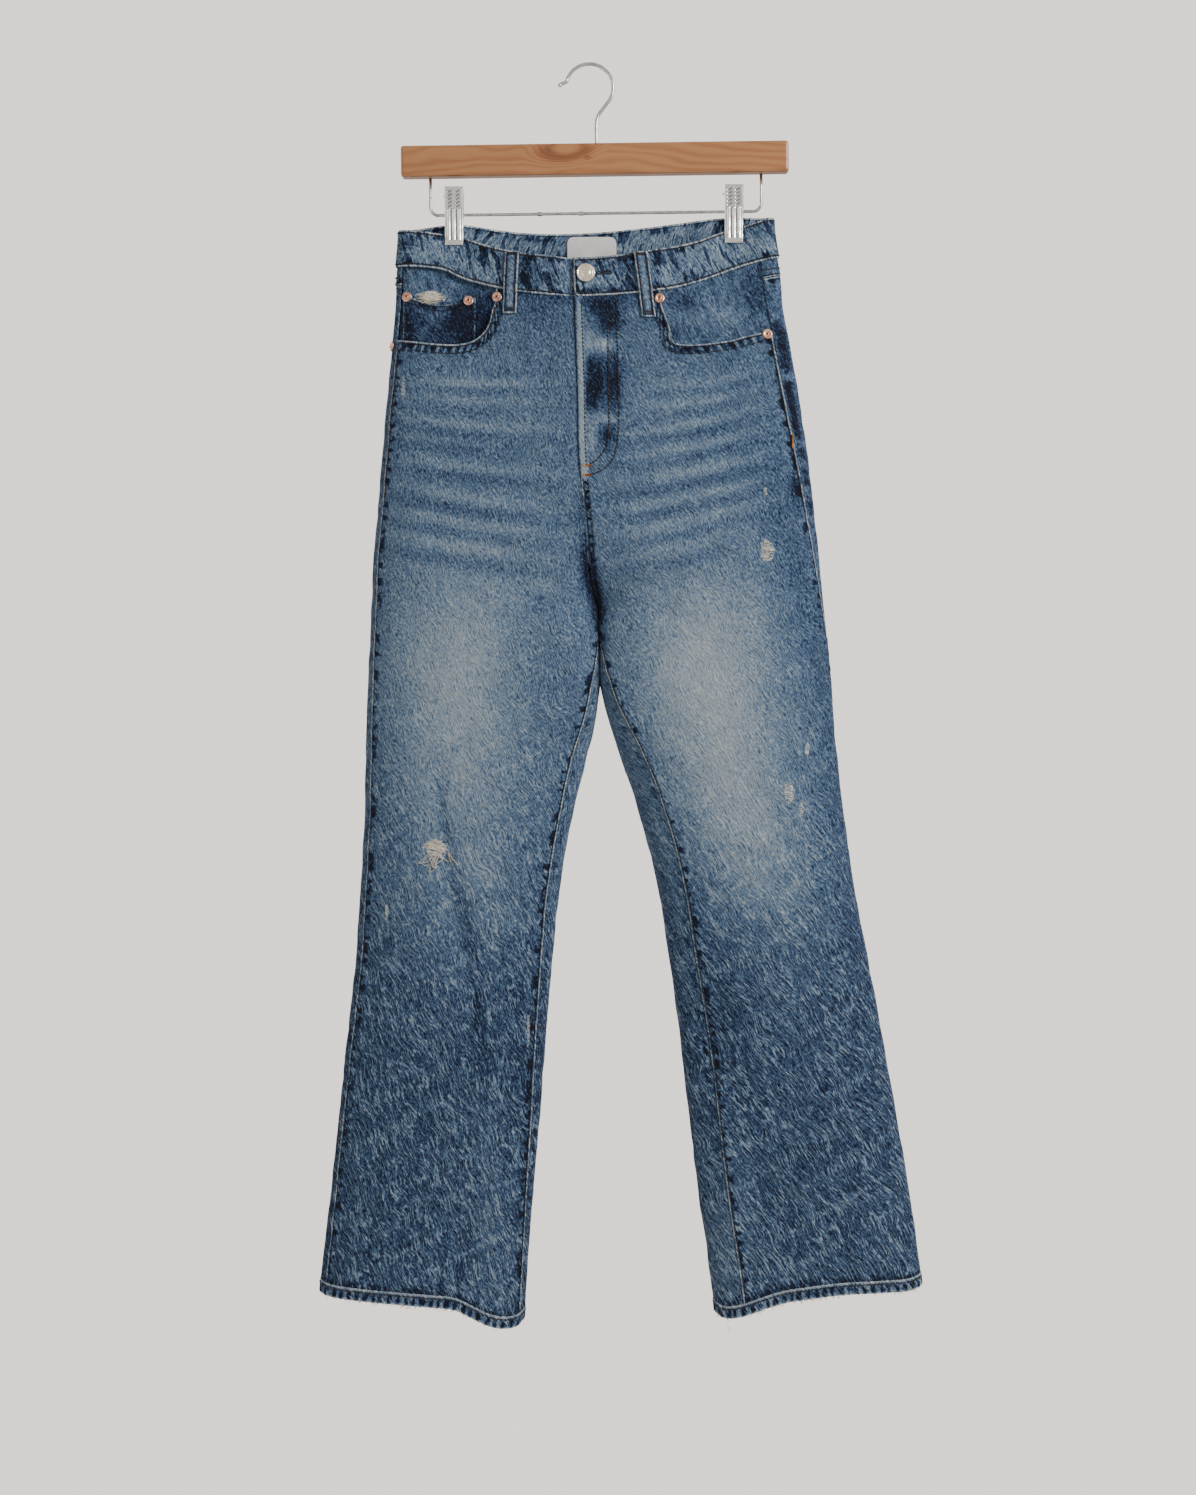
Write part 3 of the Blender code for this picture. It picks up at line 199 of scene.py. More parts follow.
# Tone = the cloth's fading with painted shade + twill grain + slubs + thin pale veins (where a
# noise crosses its mean) - dark marks, all weaker where the cloth is faded. "edge" is the distance
# in mm from a seam, minus on its plain side: a pale ridge at 0.8, a shaded line at 2.4 and dark ticks from 1
# to 9.
# The waistband adds dark drips with pale edges.
def makeDenim(name, slub=1.0, worn=False, dripping=0.0, tick=(13 * mm, 8.5 * mm), ticks=1.0):
    made, shader, start = newMaterial(name, Roughness=0.92, Sheen_Weight=denim["sheen"], Sheen_Roughness=0.6,
                                      Specular_IOR_Level=denim["gloss"])
    cloth = start.node("ShaderNodeUVMap", {"uv_map": "cloth"}, {})
    fade = start.attribute("fade")
    u, v = cloth.part(0), cloth.part(1)
    drift = cloth.noise(1 / (11 * mm), 2.0) - 0.5
    bend = (cloth.noise(1 / (36 * mm), 1.0) - 0.5) * denim["bend"]
    across = u * np.cos(denim["lean"]) + v * np.sin(denim["lean"]) + drift * denim["warp"] + bend
    along = v * np.cos(denim["lean"]) - u * np.sin(denim["lean"])
    twill = leaning(across, along, denim["twill"]).eased(0.28, 0.72) - 0.5
    slubs = leaning(across, along, denim["slub"], 11.0).eased(0.30, 0.70) - 0.5
    ridge = (leaning(across, along, denim["vein"], 7.0, 1.5, 0.55) - 0.5).maths("ABSOLUTE")
    patches = cloth.noise(1 / (30 * mm), 2.0).eased(0.3, 0.7)
    vein = (1 - ridge * denim["veinSharp"]).clamped()
    mark = leaning(across, along, denim["mark"], 3.0).eased(0.56, 0.70)
    strength = (1.28 - fade * 1.1) * slub
    coarse = (v * -1.0).eased(denim["coarseFrom"], denim["coarseTo"])
    detail = twill * (0.36 - coarse * 0.03) + slubs * ((0.45 + coarse * 0.22) * denim["slubDepth"])
    detail = detail + (vein - 0.2) * ((0.30 + coarse * 0.70) * denim["veinDepth"]) - mark * denim["markDepth"]
    tone = fade + detail * strength + (patches - 0.5) * denim["blotch"]
    if dripping:
        slant = u + v * denim["dripLean"] + drift * denim["warp"]
        drip = leaning(slant, v, denim["drip"], 5.0)
        rim = (1 - ((drip - 0.53).maths("ABSOLUTE") * 16)).clamped()
        tone = tone - drip.eased(0.52, 0.60) * (denim["dripDepth"] * dripping)
        tone = tone + rim * (denim["dripEdge"] * dripping) + 0.06 * dripping
    edge = start.attribute("edge")
    away = edge.maths("ABSOLUTE")
    right = edge.eased(-0.2, 0.2)
    ridgeLine = (1 - (edge - 0.8).maths("ABSOLUTE").eased(0.4, 1.15)) * right
    shadeLine = (1 - (edge - 2.3).maths("ABSOLUTE").eased(0.2, 1.0)) * right
    tickAt = ((u + drift * 3 * mm) / tick[0]).joined(v / tick[1], 2.0).noise(1.0, 1.5).eased(0.50, 0.585)
    window = away.eased(1.3, 2.6) * (1 - away.eased(4.5, 9.5))
    tone = tone + ridgeLine * ((slubs * 0.6 + 0.8) * denim["ridge"]) - shadeLine * denim["stitchShade"]
    tone = tone - tickAt * window * (right * 0.6 + 0.4) * (denim["tick"] * ticks)
    height = twill * 0.3 + slubs * (coarse * 0.4 + 0.2) + vein * 0.5 - mark * 0.4 + ridgeLine * 0.4 + 0.5
    if worn:
        place = start.place()
        x, y, z = place.part(0), place.part(1), place.part(2)
        ragged = place.noise(1 / (3.2 * mm), 2.0) - 0.5
        bare = None
        for row in wornPlaces:
            spot = dict(zip(wornNames, row))
            aside = (x - spot["x"] * mm) / (spot["halfWidth"] * mm)
            above = (z - spot["height"] * mm) / (spot["halfHeight"] * mm)
            away = (aside * aside + above * above).maths("SQRT") + ragged * 1.1
            mask = (1 - away.eased(0.75, 1.1)) * spot["bare"]
            bare = mask if bare is None else bare.maths("MAXIMUM", mask)
        bare = bare * (1 - y.eased(-0.004, 0.0))
        weft = (x / (5 * mm)).joined(z / (0.75 * mm), 0.0).noise(1.0, 1.0).eased(0.38, 0.6)
        tone = tone + bare * (weft * 0.75 - 0.05)
        height = height + bare * weft * 0.8
    colour = tone.ramp(denimStops)
    if worn:
        colour = colour.mixed(linear(236, 230, 216), bare * weft * 0.85)
    connect(colour, shader, "Base Color")
    bumped(shader, height, denim["bump"])
    return made


denimFront = makeDenim("denimFront", worn=True)
denimPlain = makeDenim("denimPlain")
denimBand = makeDenim("denimBand", slub=1.1, dripping=1.0, tick=(8.5 * mm, 13 * mm), ticks=0.8)
denimFacing = makeDenim("denimFacing", slub=0.9, worn=True, dripping=0.35)
denimTrim = makeDenim("denimTrim", ticks=0.0)
denimPocket = makeDenim("denimPocket", worn=True, tick=(8.5 * mm, 11 * mm), ticks=0.7)
print("denim ready")


# Threads, label, metal and wood

def makeThread(name, colour, dark):
    made, shader, start = newMaterial(name, Roughness=0.8, Specular_IOR_Level=0.25)
    place = start.place()
    tint = place.noise(1 / (5 * mm), 2.0).eased(0.35, 0.65)
    twist = place.noise(1 / (0.5 * mm), 0.0)
    connect(tint.ramp([(0.0, linear(*dark)), (1.0, linear(*colour))]), shader, "Base Color")
    bumped(shader, twist, 0.15 * mm)
    return made


threadNavy = makeThread("threadNavy", (58, 66, 82), (24, 28, 40))
threadBrown = makeThread("threadBrown", (74, 60, 54), (28, 26, 33))
threadOrange = makeThread("threadOrange", (196, 132, 66), (140, 86, 44))
threadPale = makeThread("threadPale", (232, 232, 228), (176, 186, 194))
threadCream = makeThread("threadCream", (250, 242, 226), (222, 208, 186))


def makeLabelCloth():
    made, shader, start = newMaterial("labelCloth", Roughness=0.7, Sheen_Weight=0.1)
    place = start.place()
    x, z = place.part(0), place.part(2)
    ribs = (z * (2 * pi / (0.9 * mm))).maths("SINE") * 0.5 + (x * (2 * pi / (0.9 * mm))).maths("SINE") * 0.5
    soil = place.noise(1 / (14 * mm), 2.0).eased(0.3, 0.75)
    connect(soil.ramp([(0.0, linear(238, 238, 236)), (1.0, linear(252, 252, 250))]), shader, "Base Color")
    bumped(shader, ribs, 0.12 * mm)
    return made


# Metal with fine brushed scratches along one axis and cloudy wear. Where "pressed", a point
# attribute tells how deep the surface lies in its stamped form, 1 in a mark's floor, and the metal is greyed
# there as painted shade.
def makeMetal(name, colour, worn, roughness, stretch, pressed=False):
    made, shader, start = newMaterial(name, Metallic=1.0)
    place = start.place()
    mapped = start.node("ShaderNodeMapping", {}, {"Vector": place, "Scale": stretch})
    scratch = mapped.noise(1 / (1.2 * mm), 3.0)
    cloud = place.noise(1 / (4 * mm), 3.0).eased(0.35, 0.7)
    tint = cloud.ramp([(0.0, linear(*colour)), (1.0, linear(*worn))])
    if pressed:
        deep = start.attribute("fade")
        # painted shade: dark grey in the grooves and marks
        tint = tint.mixed(linear(78, 78, 80), deep.clamped())
    connect(tint, shader, "Base Color")
    connect(scratch * 0.18 + cloud * 0.10 + (roughness - 0.12), shader, "Roughness")
    bumped(shader, scratch, 0.03 * mm)
    return made


steel = makeMetal("satinSteel", (236, 236, 235), (214, 214, 213), 0.26, (1.0, 1.0, 0.15))
clipSteel = makeMetal("clipSteel", (240, 240, 239), (216, 216, 215), 0.24, (1.0, 1.0, 0.15), True)
wireSteel = makeMetal("wireSteel", (212, 210, 206), (176, 174, 170), 0.24, (0.2, 1.0, 1.0))
buttonMetal = makeMetal("buttonMetal", (255, 247, 234), (230, 202, 174), 0.25, (1.0, 1.0, 1.0))
copper = makeMetal("copper", (232, 180, 156), (166, 116, 94), 0.32, (1.0, 1.0, 1.0))
copperDark = makeMetal("copperDark", (74, 48, 38), (42, 30, 27), 0.5, (1.0, 1.0, 1.0))
labelCloth = makeLabelCloth()

# Wood: lengthwise grain with wide cathedral arches and a dark swirl left of the hook
wood = {"swirl": (-20.0 * mm, -77.0 * mm), "reach": (24 * mm, 12.5 * mm), "bump": 0.12 * mm,
        "eye": (-0.6 * mm, -87.0 * mm)}


def makeWood():
    made, shader, start = newMaterial("barWood", Coat_Weight=0.25, Coat_Roughness=0.28)
    place = start.place()
    x, y, z = place.part(0), place.part(1), place.part(2)
    sway = (x * 9.0).joined(y * 30.0, z * 30.0).noise(1.0, 2.0) - 0.5
    aside = (x - wood["swirl"][0] - (z - wood["swirl"][1]) * 0.5) / wood["reach"][0]
    above = (z - wood["swirl"][1]) / wood["reach"][1]
    away = (aside * aside + above * above + y * y * 4000).maths("SQRT")
    near = 1 - away.eased(0.25, 1.9)
    arches = (x + 0.02) * (x + 0.02) * 9.0 + z * 34.0 + y * 22.0 + sway * 0.9
    rings = ((arches + near * 1.3) * 26.0 + sway * 4.0).maths("SINE") * 0.5 + 0.5
    swirl = (away * 11.0 + sway * 5.0).maths("SINE") * 0.5 + 0.5
    lines = (x * 22.0).joined(y * 900.0, z * 1500.0).noise(1.0, 2.0)
    grain = rings * (1 - near) * 0.30 + swirl * near * 0.55 + lines * 0.34 + sway * 0.35
    stops = [(0.0, linear(196, 138, 90)), (0.35, linear(184, 124, 78)), (0.62, linear(160, 100, 60)),
             (1.0, linear(112, 66, 38))]
    cup = (1 - (away - 0.98 + sway * 0.3).maths("ABSOLUTE").eased(0.02, 0.34)) * above.eased(0.45, -0.25)
    eyeX, eyeZ = (x - wood["eye"][0]) * 200, (z - wood["eye"][1]) * 330
    eye = 1 - (eyeX * eyeX + eyeZ * eyeZ).maths("SQRT").eased(0.3, 1.1)
    colour = (grain + cup * 0.55 + eye * 0.30).ramp(stops)
    connect(colour, shader, "Base Color")
    connect(lines * 0.2 + 0.30, shader, "Roughness")
    bumped(shader, lines + rings * 0.4, wood["bump"])
    return made


barWood = makeWood()
print("threads, metals and wood ready")


# The cloth's own shape, from the same sections and folds as the solids

sectionNames = (
    "height", "rightOuter", "rightInner", "leftInner", "leftOuter",
    "frontDepth", "backDepth", "backShift", "centreOpen")
sections = (
    (-130, -174, -15.5, -15.5, 170.5, 12, 8, 14.5, 1),
    (-160, -176, -14.8, -14.8, 173, 13, 9, 14, 1),
    (-190, -178.2, -14, -14, 177.8, 15, 11, 13.5, 1),
    (-218, -179.2, -13, -13, 180.2, 18, 14, 13, 1),
    (-260, -182.2, -11.4, -11.4, 187.4, 21, 18, 12.5, 1),
    (-311, -187.3, -9.8, -9.8, 195.8, 25, 21, 11.8, 1),
    (-366, -192, -8.6, -8.6, 204.2, 28, 24, 11.4, 1),
    (-405, -195.2, -5.2, -5.2, 208.8, 30, 25, 9, 0.98),
    (-432, -197.6, -2.6, -2.6, 211.8, 31, 26, 7.5, 0.92),
    (-460, -200.2, -0.4, -0.4, 214.6, 32, 26, 6, 0.72),
    (-482, -200.9, 3, 3, 216.6, 33, 26, 4, 0.38),
    (-501, -201.4, 7.9, 8.3, 218.4, 33, 26, 0, 0),
    (-534, -203.1, 9.7, 10.1, 221.9, 34, 26, 0, 0),
    (-579, -205.3, 10.6, 11.4, 226.2, 34, 26, 0, 0),
    (-627, -206.9, 2.6, 24.6, 229.6, 33, 25, 0, 0),
    (-683, -207.8, -11.6, 43.3, 235.8, 31, 24, 0, 0),
    (-757, -211.5, -25.5, 62.8, 246.3, 28, 23, 0, 0),
    (-831, -216.4, -33.2, 74.9, 260, 26, 22, 0, 0),
    (-906, -224.5, -39.5, 85.2, 273.9, 24, 21, 0, 0),
    (-980, -232.5, -45.2, 93.6, 287.2, 23, 21, 0, 0),
    (-1055, -240.5, -51.6, 103, 299.8, 23, 21, 0, 0),
    (-1129, -249.4, -57.1, 113.8, 309.6, 23, 21, 0, 0),
    (-1180, -254.5, -60, 118.8, 315.6, 23, 21, 0, 0))
seamNames = ("height", "rightOutseam", "rightInseam", "leftInseam", "leftOutseam")
seams = (
    (-130, 6, 0, 0, 16), (-190, 7, 0, 0, 17.5), (-260, 8, 0, 0, 19),
    (-366, 10, 0, 0, 17), (-460, 11, 0, 0, 10.5), (-501, 11, 0, 0, 6.5),
    (-534, 11, 13, 13.5, 3), (-579, 12, 22.5, 25, -5), (-627, 12, 22, 30, -11.5),
    (-683, 11.5, 19, 32, -16.5), (-831, 10.5, 15.5, 30.5, -21.5), (-980, 8.5, 11.5, 32, -23),
    (-1180, 10, 7.5, 33, -23))
bandNames = ("x", "frontTop", "frontBottom", "backTop", "backBottom")
bandEdges = (
    (-178, -153.5, -188, -153.5, -188), (-150, -155.5, -189, -149.8, -187.5),
    (-133, -157.4, -191.5, -148.4, -186.8), (-115, -160.6, -200, -148.2, -186.6),
    (-95, -167.5, -206, -150.5, -189), (-72, -173.6, -211.2, -152.8, -191.4),
    (-40, -178.4, -215.4, -154.7, -193.4), (-14, -181, -217.3, -154.4, -193.4),
    (20, -179.4, -216.4, -152.4, -191.6), (55, -173.8, -212.8, -148.8, -188),
    (85, -168.6, -207.1, -145.4, -184.6), (103, -163.6, -201.6, -143.2, -182.2),
    (124, -155.6, -194, -141.8, -180.4), (143, -150.8, -187.4, -141.4, -179.6),
    (178, -140.6, -178.6, -140.6, -178.6))
pocketNames = ("x", "height")
rightPocket = (
    (-85.2, -209.4), (-86.6, -222.6), (-89.6, -231), (-91.4, -240), (-96.6, -250),
    (-106.9, -258.2), (-120, -261.4), (-136, -261.2), (-152, -259.5), (-177.4, -256.4))
leftPocket = (
    (66.2, -211.2), (67.6, -224.4), (71.6, -236), (75, -246), (75.8, -256),
    (82, -261), (103, -261.4), (130.7, -257.7), (149.2, -252.6), (172.6, -247.8))
hemNames = ("share", "rightFront", "rightBack", "leftFront", "leftBack")
hemEdges = (
    (0.00, -1163.5, -1163.5, -1156, -1156), (0.06, -1170, -1164, -1162, -1156.5),
    (0.12, -1171, -1162, -1161, -1155.5), (0.18, -1168.4, -1159, -1157.4, -1154),
    (0.26, -1161, -1155, -1151.6, -1151), (0.33, -1154.2, -1152, -1147.2, -1149),
    (0.47, -1149.8, -1150, -1142, -1146), (0.62, -1147.2, -1149.5, -1138.4, -1144),
    (0.78, -1144.8, -1147, -1137.2, -1141), (0.93, -1141.6, -1142, -1136, -1136),
    (1.00, -1138, -1138, -1132.4, -1132.4))
# folds: two ends of a ridge (+) or trough (-), half width and rise, all in mm
foldNames = ("xFrom", "heightFrom", "xTo", "heightTo", "halfWidth", "rise")
frontFolds = (
    (-138, -665, -124, -757, 15, -2.4), (-124, -757, -108, -880, 15, -2), (160, -400, 200, -520, 17, -3),
    (-30, -455, -110, -395, 15, 2), (-35, -490, -130, -455, 16, -1.8), (40, -455, 120, -410, 15, 2),
    (45, -490, 150, -470, 16, -1.8), (-40, -230, -52, -330, 15, -1.8), (-112, -275, -96, -345, 18, 1.8),
    (105, -275, 88, -350, 18, 1.8), (30, -230, 44, -320, 15, -1.6), (-150, -700, -168, -860, 20, 1.8),
    (205, -640, 190, -800, 20, -2), (110, -820, 128, -960, 18, -1.8), (-72, -1172, -80, -985, 17, 4.5),
    (-122, -1165, -118, -1010, 17, -3.5), (-205, -1150, -196, -1000, 20, 2),
    (132, -1165, 128, -985, 17, 4), (178, -1155, 172, -1010, 18, -3), (262, -1145, 250, -985, 22, 2.4))
backFolds = (
    (-20, -505, -120, -530, 18, -3), (40, -505, 140, -535, 18, -3), (-30, -455, -120, -470, 18, 2),
    (50, -455, 140, -470, 18, 2), (-175, -780, -60, -805, 15, -2.2), (75, -800, 225, -785, 15, -2.2),
    (-165, -860, -70, -850, 15, -1.8), (95, -850, 235, -870, 15, -1.8), (-110, -1165, -115, -960, 22, 3),
    (-190, -1155, -185, -980, 20, -2.5), (200, -1150, 190, -960, 22, 3), (270, -1145, 255, -980, 20, -2.5))
# finer creases of this shell alone
frontCreases = (
    (-188, -318, -58, -331, 5, 0.55), (-192, -339, -45, -354, 6, 0.6), (-196, -385, -42, -416, 6, 0.6),
    (-198, -421, -40, -452, 7, 0.65), (-150, -362, -60, -372, 5, -0.45), (-190, -402, -70, -428, 6, -0.5),
    (20, -432, 172, -394, 7, 0.65), (26, -407, 176, -368, 6, 0.6), (30, -384, 178, -344, 6, 0.55),
    (36, -358, 172, -322, 5, 0.5), (36, -335, 150, -308, 5, 0.45), (24, -420, 172, -381, 5, -0.5),
    (28, -396, 176, -356, 5, -0.45), (-141, -640, -131, -735, 5, -1.5), (-131, -735, -118, -820, 6, -2),
    (-118, -820, -104, -900, 6, -1.6), (-129, -660, -120, -750, 5, 1), (-108, -740, -96, -850, 6, 1),
    (168, -415, 186, -470, 6, -1.1), (182, -455, 204, -540, 7, -0.9), (172, -470, 190, -545, 6, 0.8),
    (-60, -560, -150, -600, 12, 0.7), (40, -560, 140, -585, 12, 0.7), (-50, -620, -120, -650, 9, -0.5),
    (60, -610, 150, -640, 9, -0.5), (-40, -700, -110, -728, 8, 0.5), (90, -700, 170, -722, 8, 0.5),
    (-200, -640, -185, -700, 7, -0.6), (-199, -1010, -202, -1128, 9, -1.1), (-176, -1020, -172, -1140, 8, 0.9),
    (-150, -930, -142, -1040, 9, 0.7), (-122, -1040, -124, -1140, 8, -0.9), (-86, -1010, -88, -1150, 8, 1.1),
    (-66, -960, -70, -1050, 7, -0.7), (146, -1000, 150, -1120, 9, 0.9), (170, -980, 166, -1100, 8, -0.8),
    (205, -940, 214, -1070, 10, 0.7), (232, -1010, 240, -1120, 9, -0.9), (262, -930, 274, -1040, 9, 0.6),
    (100, -860, 122, -950, 8, -0.7), (128, -840, 150, -960, 9, 0.6), (230, -760, 246, -860, 8, -0.6),
    (-70, -236, -58, -300, 5, -0.7), (-60, -232, -46, -290, 4, 0.6), (-104, -268, -140, -300, 7, 0.6),
    (52, -232, 66, -288, 5, -0.6), (92, -272, 126, -300, 7, 0.6), (-30, -250, -24, -330, 5, 0.5))
backCreases = (
    (-24, -512, -90, -524, 7, -1.2), (36, -512, 110, -526, 7, -1.2), (-30, -486, -120, -492, 8, 0.9),
    (42, -486, 130, -494, 8, 0.9), (-40, -540, -130, -556, 8, 0.7), (44, -540, 150, -560, 8, 0.7),
    (-160, -768, -70, -786, 6, -1), (-172, -796, -66, -812, 7, 0.9), (-150, -824, -80, -838, 6, -0.9),
    (-168, -846, -90, -862, 6, 0.7), (92, -770, 200, -790, 6, -1), (88, -800, 224, -812, 7, 0.9),
    (104, -826, 214, -842, 6, -0.9), (110, -850, 228, -864, 6, 0.7), (-140, -930, -130, -1080, 10, 0.8),
    (-100, -960, -96, -1130, 10, -0.9), (-210, -980, -214, -1120, 9, 0.8), (168, -930, 160, -1080, 10, 0.8),
    (226, -950, 236, -1110, 9, -0.9), (140, -1020, 136, -1140, 8, 0.7), (-60, -600, -150, -640, 10, 0.6),
    (60, -600, 170, -640, 10, 0.6), (-190, -420, -150, -470, 8, -0.6), (200, -430, 160, -480, 8, -0.6))

shape = {
    "panel": 1.2 * mm, "band": 3.0 * mm, "pocket": 1.1 * mm, "loop": 2.0 * mm, "gap": 0.3 * mm,
    "sharpness": 4.2, "crotch": -501 * mm, "samples": 72, "top": -120 * mm, "bottom": -1196 * mm,
    "rowStep": 2.0 * mm, "shares": 161, "hemHeight": 12 * mm, "loopWidth": 13 * mm,
    "clipWidth": 8.75 * mm, "clipMargin": 2.5 * mm, "clipBite": 0.2 * mm, "clipSpread": 0.22,
    "press": 0.9 * mm}
clips = {"right": (-124.7 * mm, -167.4 * mm), "left": (135.0 * mm, -165.3 * mm)}


def column(rows, names, name):
    return np.array([row[names.index(name)] for row in rows], dtype=float) * mm


# Smooth curve through a table's points: cubic Hermite pieces with the mean slopes
def smooth(at, xs, ys):
    if xs[0] > xs[-1]:
        xs, ys = xs[::-1], ys[::-1]
    at = np.clip(at, xs[0], xs[-1])
    slope = np.gradient(ys, xs)
    i = np.clip(np.searchsorted(xs, at) - 1, 0, len(xs) - 2)
    step = xs[i + 1] - xs[i]
    t = (at - xs[i]) / step
    rise = t * t * (3 - 2 * t)
    ends = (t ** 3 - 2 * t * t + t) * step * slope[i] + (t ** 3 - t * t) * step * slope[i + 1]
    return ys[i] * (1 - rise) + ys[i + 1] * rise + ends


# 0 below low, 1 above high, 3t^2 - 2t^3 between
def eased(value, low=0.0, high=1.0):
    share = np.clip((value - low) / (high - low), 0, 1)
    return share * share * (3 - 2 * share)


# 1 at 0, falling off as exp(-(value / width)^power)
def bell(value, width, power=2):
    return np.exp(-(value / width) ** power)


# a value of fading and painted shade kept within the denim's ramp
def toned(fade):
    return np.clip(fade, 0.02, 0.98)


def section(name, height):
    return smooth(height, column(sections, sectionNames, "height"), column(sections, sectionNames, name))


def bandEdge(name, x):
    return smooth(x, column(bandEdges, bandNames, "x"), column(bandEdges, bandNames, name))


# Slow waves along s: three sines of unlike periods, about -1 to 1
def waves(s, period, seed):
    turn = 2 * pi * s / period
    return (np.sin(turn + seed) + 0.7 * np.sin(turn * 1.618 + 2.3 * seed)
            + 0.5 * np.sin(turn * 2.414 + 4.1 * seed)) / 2.2


# Ridge along a line: rise * exp(-(distance / halfWidth)^2), lower towards both ends
def foldRise(rows, x, height):
    total = np.zeros(np.shape(x))
    for row in rows:
        fold = dict(zip(foldNames, np.array(row) * mm))
        x0, z0 = fold["xFrom"], fold["heightFrom"]
        dx, dz = fold["xTo"] - x0, fold["heightTo"] - z0
        along = np.clip(((x - x0) * dx + (height - z0) * dz) / (dx * dx + dz * dz), 0, 1)
        away = np.hypot(x - x0 - along * dx, height - z0 - along * dz) / fold["halfWidth"]
        total += fold["rise"] * bell(away, 1) * (0.35 + 0.65 * np.sin(pi * along))
    return total


def clipDistance(x, height):
    nearest = np.full(np.shape(x), 1.0)
    for clipX, bottom in clips.values():
        across = np.maximum(np.abs(x - clipX) - shape["clipWidth"] - shape["clipMargin"], 0)
        down = np.maximum(bottom - shape["clipMargin"] - height, 0)
        nearest = np.minimum(nearest, np.hypot(across, 0.8 * down))
    return nearest


# Half a flattened tube: y = depth * sqrt(1 - u^n) * (open + (1 - open) * (1 - (1 - u)^n)^power)
# plus folds, pinched to the clips' bite as a soft minimum. u runs from inner edge to fold.
def profile(side, back, height):
    half = halfNames[side]
    height = height.reshape(-1, 1)
    share = ((1 - np.cos(pi * np.linspace(0, 1, shape["samples"]))) / 2)[None, :]
    opened = np.clip(section("centreOpen", height) / mm, 0, 1)
    inner = section(half + "Inner", height) + side * (shape["gap"] / 2 + shape["panel"]) * (1 - opened) ** 3
    # the legs press together just below the crotch
    press = eased(height, -574 * mm, -558 * mm) * eased(-height, 468 * mm, 484 * mm)
    inner = inner - side * shape["press"] * press
    if back:
        inner = inner + section("backShift", height)
    x = inner + (section(half + "Outer", height) - side * shape["panel"] - inner) * share
    pressed = eased(shape["crotch"] + 30 * mm - height, 0, 60 * mm)
    parted = eased(shape["crotch"] - 85 * mm - height, 0, 70 * mm)
    n = shape["sharpness"]
    roundOut = np.sqrt(np.clip(1 - share ** n, 0, 1))
    roundIn = np.clip(1 - (1 - share) ** n, 0, 1) ** (1 - 0.75 * pressed + 0.25 * parted)
    body = roundOut * (opened + (1 - opened) * roundIn)
    free = section("backDepth" if back else "frontDepth", height) * body
    free = free + foldRise(backFolds if back else frontFolds, x, height) * body
    pinched = shape["clipBite"] + shape["clipSpread"] * clipDistance(x, height + 0 * x)
    y = free * pinched / np.cbrt(free ** 3 + pinched ** 3 + 1e-15)
    y = y if back else -y
    steps = np.hypot(np.diff(x, axis=1), np.diff(y, axis=1))
    along = np.concatenate([np.zeros((len(x), 1)), np.cumsum(steps, axis=1)], axis=1)
    return x, y, along


# Row-wise linear look-up: values at the places where keys reach at
def pick(keys, values, at):
    index = np.clip((keys[:, None, :] < at[:, :, None]).sum(axis=2), 1, keys.shape[1] - 1)
    rows = np.arange(len(at))[:, None]
    low, high = keys[rows, index - 1], keys[rows, index]
    t = np.clip((at - low) / np.maximum(high - low, 1e-12), 0, 1)
    return values[rows, index - 1] * (1 - t) + values[rows, index] * t


gridHeights = np.arange(shape["top"], shape["bottom"], -shape["rowStep"])
shares = np.linspace(0, 1, shape["shares"])


# Look-up tables of one half: points over height and turn (0 to 1 front, 1 to 2 back), their
# outward normals and the front's and back's lengths
def makeHalf(side):
    faces, lengths = [], []
    for back in (False, True):
        x, y, along = profile(side, back, gridHeights)
        at = shares[None, :] * along[:, -1:]
        points = np.stack([pick(along, x, at), pick(along, y, at), gridHeights[:, None] + 0 * at], axis=2)
        faces.append(points[:, ::-1][:, 1:] if back else points)
        lengths.append(along[:, -1])
    points = np.concatenate(faces, axis=1)
    across = np.zeros_like(points)
    across[:, 1:-1] = points[:, 2:] - points[:, :-2]
    closed = gridHeights <= shape["crotch"]
    wrap = points[:, 1] - points[:, -2]
    across[:, 0] = np.where(closed[:, None], wrap, points[:, 1] - points[:, 0])
    across[:, -1] = np.where(closed[:, None], wrap, points[:, -1] - points[:, -2])
    up = -np.gradient(points, axis=0)
    normals = side * np.cross(across, up)
    normals /= np.linalg.norm(normals, axis=2, keepdims=True)
    return {"points": points, "normals": normals, "front": lengths[0], "back": lengths[1]}


halves = {side: makeHalf(side) for side in (-1, 1)}
print("cloth surface ready")


# Bilinear look-up in a table over height and turn
def lookUp(table, turn, height):
    turn = np.mod(turn, 2.000001)
    row = np.clip((shape["top"] - height) / shape["rowStep"], 0, len(gridHeights) - 1.001)
    col = np.clip(turn * (shape["shares"] - 1), 0, table.shape[1] - 1.001)
    i, j = row.astype(int), col.astype(int)
    a, b = (row - i)[..., None], (col - j)[..., None]
    return ((table[i, j] * (1 - b) + table[i, j + 1] * b) * (1 - a)
            + (table[i + 1, j] * (1 - b) + table[i + 1, j + 1] * b) * a)


def faceLength(side, name, height):
    return np.interp(-height, -gridHeights, halves[side][name])


def seamTurn(side, name, height):
    half = halfNames[side]
    away = smooth(height, column(seams, seamNames, "height"), column(seams, seamNames, half + name))
    length = np.where(away > 0, faceLength(side, "front", height), faceLength(side, "back", height))
    return 1 - away / length if name == "Outseam" else away / length


# Length along the cloth from a seam to a turn, + away from the leg's inner edge
def fromSeam(side, name, turn, height):
    gap = np.mod(turn - seamTurn(side, name, height) + 1, 2) - 1
    return gap * faceLength(side, "front", height)


